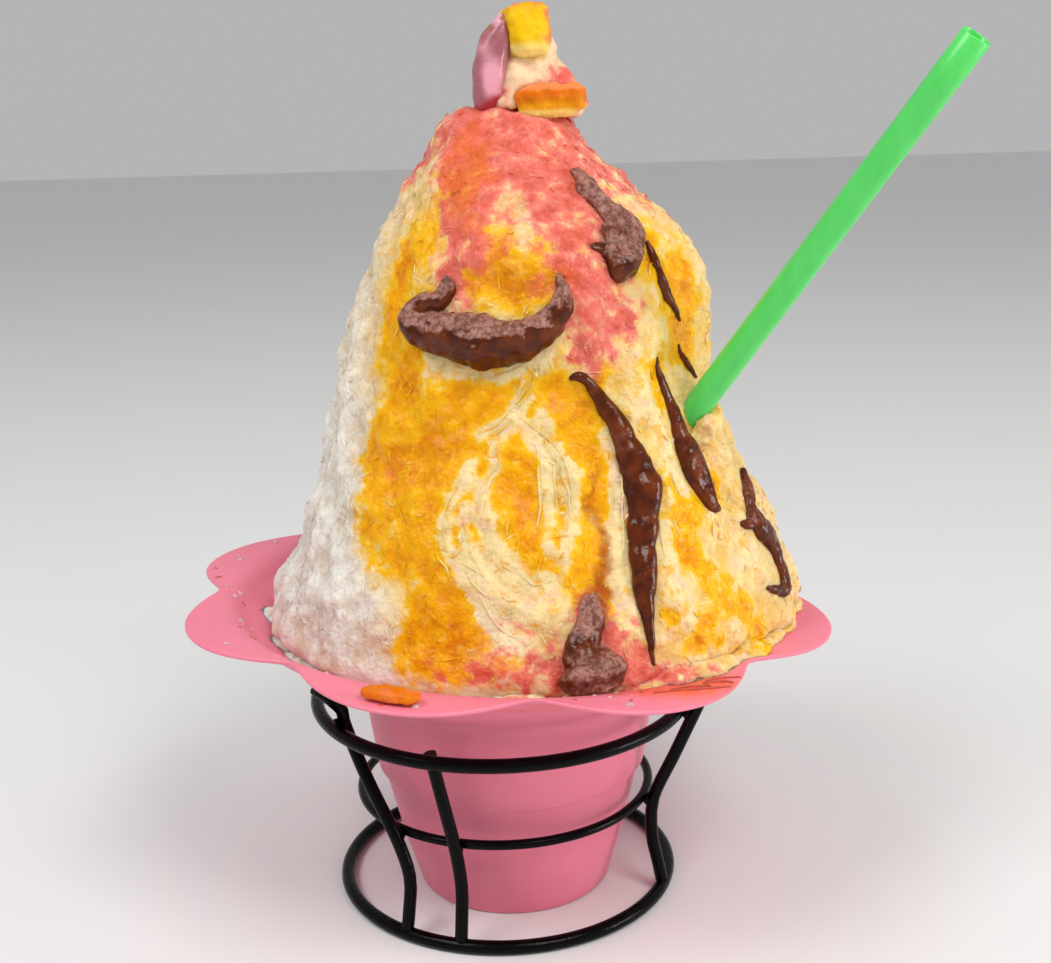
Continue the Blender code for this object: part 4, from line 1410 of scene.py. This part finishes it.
def place_on_ice(tree, azimuth, height):
    """The point of the ice at an azimuth and a height above the rim, and the way out of it there."""
    middle = np.interp(height, [row[0] for row in ICE_MIDDLE], [row[1] for row in ICE_MIDDLE])
    a = math.radians(azimuth)
    inner = shift(lean((middle, 0.0, RIM_Z + height)))
    outer = shift(lean((middle + 100 * math.cos(a), 93 * math.sin(a), RIM_Z + height)))
    way = (inner - outer).normalized()
    hit, face_way = tree.ray_cast(outer * MM, way)[:2]
    return hit / MM, face_way


def make_drips(ice_tree, finish):
    """The thinner spurs and trickles of chocolate."""
    skins = [run_skin(ice_tree, stations) for stations in DRIPS]
    drips = mesh_object("chocolate_drips", *joined(skins), finish, sharp=80.0)
    at = positions(drips)
    set_positions(drips, at + normals(drips) * (0.22 * noise_at(at, 1.8, 2.0))[:, None])
    # Frost, with a painted sheen of light from above on the faces that look up.
    set_values(drips, "frost_and_sheen", 0.3 * smooth_step(0.3, 0.9, normals(drips)[:, 2]) + 0.12)
    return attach(drips, "root")


# ---------------------------------------------------------------- toppings


def roughened(obj, grown, lumps, size, grit=0.0, grit_size=1.0):
    """Grows a piece, with soft lumps and finer grit, and gives back its points and ways out."""
    at = positions(obj)
    rise = grown + lumps * noise_at(at, size, 4.0) + grit * noise_at(at, grit_size, 8.0)
    at = at + normals(obj) * rise[:, None]
    at[:, 2] = np.minimum(at[:, 2], CAD_BOUNDS[1].z / MM)
    set_positions(obj, at)
    return at, normals(obj)


def tip_patches(points, patches):
    """How much of a set of patches of (x, height, half-width, half-height, strength) lies on points of the tip."""
    flat = upright(points)
    total = np.zeros(len(points))
    for x, height, half_width, half_height, strength in patches:
        across = (flat[:, 0] - x) / half_width
        up = (flat[:, 2] - height) / half_height
        total += strength * np.exp(-(across**2) - up**2)
    return total


def level_in(node, at):
    """How high points are within a CAD node, from 0 at its lowest to 1 at its highest."""
    low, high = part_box(node)
    return (at[:, 2] * MM - low.z) / (high.z - low.z)


def make_toppings(mango, jelly, cream):
    slice_ = refined("jelly_slice", "jelly", jelly, 0.5, smoothing=5)
    at, out = roughened(slice_, 0.35, 0.4, 4.0)
    # Pale patches of the bulb, with a painted highlight.
    set_values(slice_, "pale", tip_patches(at, JELLY_PALE_AND_HIGHLIGHT))
    set_values(slice_, "deep", tip_patches(at, JELLY_DEEP))
    set_values(slice_, "spot", tip_patches(at, JELLY_SPOT))

    top = refined("mango_cube", "mango_top", mango, 0.5, smoothing=6)
    at, out = roughened(top, 0.3, 1.0, 3.4, 0.3, 1.3)
    edge = smooth_step(0.3, 0.9, out[:, 0]) + smooth_step(0.5, 0.95, out[:, 2])
    level = level_in("mango_top", at)
    set_values(top, "deep", 0.4 * smooth_step(0.7, 1.0, level))
    set_values(top, "rind", 0.75 * edge)
    set_values(top, "milky", smooth_step(0.42, 0.05, level))

    slab = refined("mango_slice", "mango_slab", mango, 0.5, smoothing=6)
    at, out = roughened(slab, 0.2, 0.9, 3.0, 0.3, 1.2)
    level = level_in("mango_slab", at)
    set_values(slab, "deep", 0.55 + 0.45 * smooth_step(0.2, 0.7, level))
    set_values(slab, "rind", 0.9 * smooth_step(0.68, 0.9, level))
    set_values(slab, "milky", 0.8 * smooth_step(0.36, 0.12, level))

    chip = refined("mango_chip", "mango_on_brim", mango, 0.35, smoothing=1)
    at, out = roughened(chip, 0.0, 0.45, 2.6, 0.2, 1.0)
    set_values(chip, "deep", np.full(len(at), 1.35))
    set_values(chip, "rind", 0.25 + 0.4 * noise_at(at, 3.0))

    milk = refined("cream_cap", "cream", cream, 0.6, smoothing=3)
    at, out = roughened(milk, 0.95, 0.9, 3.6, 0.4, 1.4)
    set_values(milk, "berry", tip_patches(at, CREAM_PINK))
    set_values(milk, "mango", tip_patches(at, CREAM_YELLOW))


# ---------------------------------------------------------------- straw and holder


def make_straw(finish):
    rows = []
    across = STRAW_LEAN.orthogonal().normalized()
    other = STRAW_LEAN.cross(across)
    turns = [2 * math.pi * k / 48 for k in range(48)]
    edge = STRAW_WALL / 2
    ends = []
    for reach, sign in ((-STRAW_INSIDE, -1), (STRAW_ABOVE, 1)):
        ends.append([(STRAW_R, reach - sign * edge), (STRAW_R - edge, reach), (STRAW_R - 2 * edge, reach - sign * edge)])
    middle = [(STRAW_R, reach) for reach in range(-30, 100, 10)]
    inner = [(STRAW_R - STRAW_WALL, reach) for reach in range(95, -35, -10)]
    for radius, reach in (*ends[0][::-1], *middle, *ends[1], *inner):
        spot = STRAW_ENTRY + STRAW_LEAN * reach
        rows.append([shift(lean(spot + radius * (across * math.cos(t) + other * math.sin(t)))) for t in turns])
    straw = mesh_object("straw_tube", *skinned_rows(rows, closed=True), finish, sharp=60.0)
    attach(straw, "root")
    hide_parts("straw")


def ring_skin(radius, height, wire):
    rows = []
    for k in range(144):
        a = 2 * math.pi * k / 144
        row = []
        for s in range(16):
            t = 2 * math.pi * s / 16
            r = radius + wire / 2 * math.cos(t)
            row.append(shift((HOLDER_X + r * math.cos(a), r * math.sin(a), height + wire / 2 * math.sin(t))))
        rows.append(row)
    return skinned_rows(rows, closed=True)


def strut_line(top_azimuth, waist_azimuth, side, hooked):
    """The centre line of a strut, from the upper ring down past the waist ring and out to the foot ring."""
    top = UPPER_RING_R + side * (WIRE / 2 + STRUT_WIRE / 2 + 2 * GAP)
    waist = WAIST_RING_R + WAIST_WIRE / 2 + STRUT_WIRE / 2 + GAP
    drop = UPPER_RING_Z - WAIST_RING_Z
    turned = waist_azimuth - top_azimuth
    rise = STRUT_TOPS[side]
    stations = [(top + out, UPPER_RING_Z + up, top_azimuth) for out, up in STRUT_HOOK] if hooked else []
    stations += [
        (top + (top - waist) * rise / drop, UPPER_RING_Z + rise, top_azimuth - turned * rise / drop),
        ((top + waist) / 2, UPPER_RING_Z - drop / 2, (top_azimuth + waist_azimuth) / 2),
        (waist, WAIST_RING_Z, waist_azimuth),
        (waist - 0.6, 16.0, waist_azimuth + turned * 0.25),
        (FOOT_RING_R - 1.0, 8.0, waist_azimuth + turned * 0.3),
        (FOOT_RING_R, WIRE * 0.9, waist_azimuth + turned * 0.3),
    ]
    line = []
    for r, z, azimuth in smooth_path(stations, 3.0):
        a = math.radians(azimuth)
        line.append(shift((HOLDER_X + r * math.cos(a), r * math.sin(a), z)))
    return line


def weld_skin(spot, way, size):
    """A blob of weld that joins two wires."""
    ball = bmesh.new()
    bmesh.ops.create_icosphere(ball, subdivisions=3, radius=1.0)
    across = way.orthogonal().normalized()
    turn = Matrix((across, way.cross(across), way)).transposed()
    points = []
    for v in ball.verts:
        p = Vector((v.co.x, v.co.y, v.co.z * 1.25)) * size
        points.append(spot + turn @ p * (1 + 0.12 * noise.noise(v.co * 1.7 + spot)))
    faces = [tuple(v.index for v in f.verts) for f in ball.faces]
    ball.free()
    return points, faces


def make_holder(finish):
    rings = [
        ring_skin(UPPER_RING_R, UPPER_RING_Z, WIRE),
        ring_skin(WAIST_RING_R, WAIST_RING_Z, WAIST_WIRE),
        ring_skin(FOOT_RING_R, WIRE / 2, WIRE),
    ]
    holder = mesh_object("wire_rings", *joined(rings), finish, sharp=80.0)
    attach(holder, "root")
    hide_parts("upper_ring", "waist_ring", "foot_ring")
    skins = []
    for strut in STRUTS:
        line = strut_line(*strut)
        radii = [STRUT_WIRE / 2] * len(line)
        skins.append(skinned_rows(tube(line, radii, 16)))
        for level, ring_r in ((UPPER_RING_Z, UPPER_RING_R), (WAIST_RING_Z, WAIST_RING_R)):
            near = min(line, key=lambda p: abs(p.z - level))
            hub = shift((HOLDER_X, 0.0, level))
            out = (near - hub).normalized()
            spot = (near + hub + out * ring_r) / 2 - Vector((0.0, 0.0, 0.8))
            skins.append(weld_skin(spot, Vector((0.0, 0.0, 1.0)), 1.38))
    struts = mesh_object("wire_struts", *joined(skins), finish, sharp=80.0)
    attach(struts, "root")
    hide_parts(*[f"strut_{i + 1}" for i in range(len(STRUTS))])


# ---------------------------------------------------------------- on the brim


def dome(spot, way, width, height, sides=12, turn=0.0, stretch=1.0):
    """A low dome on a surface: a drop or a speck."""
    across = way.orthogonal().normalized()
    across = Matrix.Rotation(turn, 3, way) @ across
    other = way.cross(across)
    rows = []
    for radius, rise in ((0.92, -0.12), (1.0, 0.08), (0.93, 0.42), (0.7, 0.76), (0.38, 0.95), (0.08, 1.0)):
        row = []
        for k in range(sides):
            t = 2 * math.pi * k / sides
            flat = across * (math.cos(t) * stretch) + other * math.sin(t)
            row.append(spot + flat * (radius * width / 2) + way * (rise * height))
        rows.append(row)
    return skinned_rows(rows)


def brim_spots(tree, rng, count, inner, outer, sector=None):
    """Random spots on the top of the brim, with the way out of it at each."""
    found = []
    while len(found) < count:
        a = rng.uniform(0.0, 2 * math.pi) if sector is None else math.radians(rng.uniform(*sector))
        r = rng.uniform(inner, outer)
        if r > petal_edge(a) - 2.5:
            continue
        at = Vector((r * math.cos(a) + AXIS_X, r * math.sin(a), 120.0))
        hit, way = tree.ray_cast(at * MM, Vector((0.0, 0.0, -1.0)))[:2]
        if hit:
            found.append((hit / MM, way))
    return found


def make_brim_bits(tree, water, fibre):
    rng = np.random.default_rng(5)
    skins = []
    for spot, way in brim_spots(tree, rng, DROPS, 64.0, 81.0):
        width = rng.uniform(0.7, 2.2)
        skins.append(dome(spot, way, width, width * 0.34, 14, rng.uniform(0, 3), rng.uniform(1.0, 1.35)))
    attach(mesh_object("melt_drops", *joined(skins), water, sharp=80.0), "root")

    skins = []
    for spot, way in brim_spots(tree, rng, SPECKS, 66.0, 80.0):
        width = rng.uniform(0.4, 1.0)
        skins.append(dome(spot, way, width, 0.22, 8, rng.uniform(0, 3), rng.uniform(1.2, 2.8)))
    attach(mesh_object("brim_specks", *joined(skins), fibre, sharp=80.0), "root")

    skins = []
    for line in BRIM_THREADS:
        spots = []
        for x, y in smooth_path(line, 0.9):
            z = bowl_height(tree, x, y)
            if z is not None:
                spots.append(Vector((x + AXIS_X, y, z + 0.15)))
        radii = [0.26 + 0.1 * noise.noise(p / 1.6) for p in spots]
        skins.append(skinned_rows(tube(spots, radii, 7)))
    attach(mesh_object("brim_threads", *joined(skins), fibre, sharp=80.0), "root")


# ---------------------------------------------------------------- stage


def area_light(name, place, aim, size, power, colour=(1.0, 1.0, 1.0)):
    light = bpy.data.lights.new(name, "AREA")
    light.shape = "SQUARE"
    light.size = size
    light.energy = power
    light.color = colour
    lamp = link(bpy.data.objects.new(name, light))
    lamp.location = place
    lamp.rotation_euler = (Vector(aim) - Vector(place)).to_track_quat("-Z", "Y").to_euler()


def make_stage():
    f = Finish("pale_floor")
    f.plug(f.shader.inputs["Base Color"], f.mix(f.noise(90.0, 2.0), (0.8, 0.8, 0.8), (0.83, 0.83, 0.83)))
    f.fixed(Roughness=0.7)
    mesh = bpy.data.meshes.new("floor")
    mesh.from_pydata([(-6, -6, 0), (6, -6, 0), (6, 6, 0), (-6, 6, 0)], [], [(0, 1, 2, 3)])
    mesh.materials.append(f.material)
    link(bpy.data.objects.new("floor", mesh))

    world = bpy.data.worlds.new("studio")
    SCENE.world = world
    world.use_nodes = True
    back = world.node_tree.nodes["Background"]
    back.inputs["Color"].default_value = (1.0, 1.0, 1.0, 1.0)
    back.inputs["Strength"].default_value = 0.46
    middle = (0.0, 0.0, 0.12)
    area_light("key", (0.45, -0.7, 1.05), middle, 0.5, 7.2, (1.0, 0.985, 0.96))
    area_light("left_key", (-0.7, -0.55, 1.2), middle, 0.6, 7.8)
    area_light("side", (1.15, -0.3, 0.14), (0.0, 0.0, 0.05), 0.45, 6.0)
    SCENE.view_settings.view_transform = "Standard"


def make_camera():
    """A camera a little above the brim, looking down on it by about fourteen degrees."""
    yaw, pitch, roll, lean_of_view = 0.0116, -0.2469, 0.0280, 0.055
    ahead = Vector((math.sin(yaw) * math.cos(pitch), math.cos(yaw) * math.cos(pitch), math.sin(pitch)))
    right = Vector((math.cos(yaw), -math.sin(yaw), 0.0))
    above = right.cross(ahead)
    side = right * math.cos(roll) + above * math.sin(roll)
    above = above * math.cos(roll) - right * math.sin(roll)
    turned = Matrix.Rotation(lean_of_view, 3, "Y")
    side, above, ahead = turned @ side, turned @ above, turned @ ahead
    camera = bpy.data.cameras.new("camera")
    camera.sensor_fit = "HORIZONTAL"
    camera.sensor_width = 36.0
    camera.lens = 49.15
    camera.clip_start = 0.01
    shot = link(bpy.data.objects.new("camera", camera))
    turn = Matrix((side, above, -ahead)).transposed()
    place = turned @ Vector((0.0, -352.0, 119.0)) + Vector((AXIS_X, 0.0, RIM_Z))
    shot.matrix_world = Matrix.Translation(place * MM) @ turn.to_4x4()
    SCENE.camera = shot


def main():
    snow = snow_finish("syrup_snow", 0.7, 3.0 * MM)
    loose_snow = snow_finish("loose_snow", 0.0, 0.3 * MM)
    chocolate = chocolate_finish()
    fibre = thread_finish()
    cup = make_cup(plastic_finish())
    ice = make_ice(snow)
    ice_tree = tree_of(ice)
    cup_tree = tree_of(cup)
    make_slush(ice_tree, cup_tree, snow)
    make_straw_snow(snow)
    make_grains(ice, loose_snow)
    make_shreds(ice, loose_snow)
    for node in SAUCES:
        make_sauce(node, ice_tree, chocolate)
    make_drips(ice_tree, chocolate)
    make_toppings(mango_finish(), jelly_finish(), cream_finish())
    make_straw(green_finish())
    make_holder(wire_finish())
    make_brim_bits(cup_tree, water_finish(), fibre)
    make_stage()
    make_camera()


main()
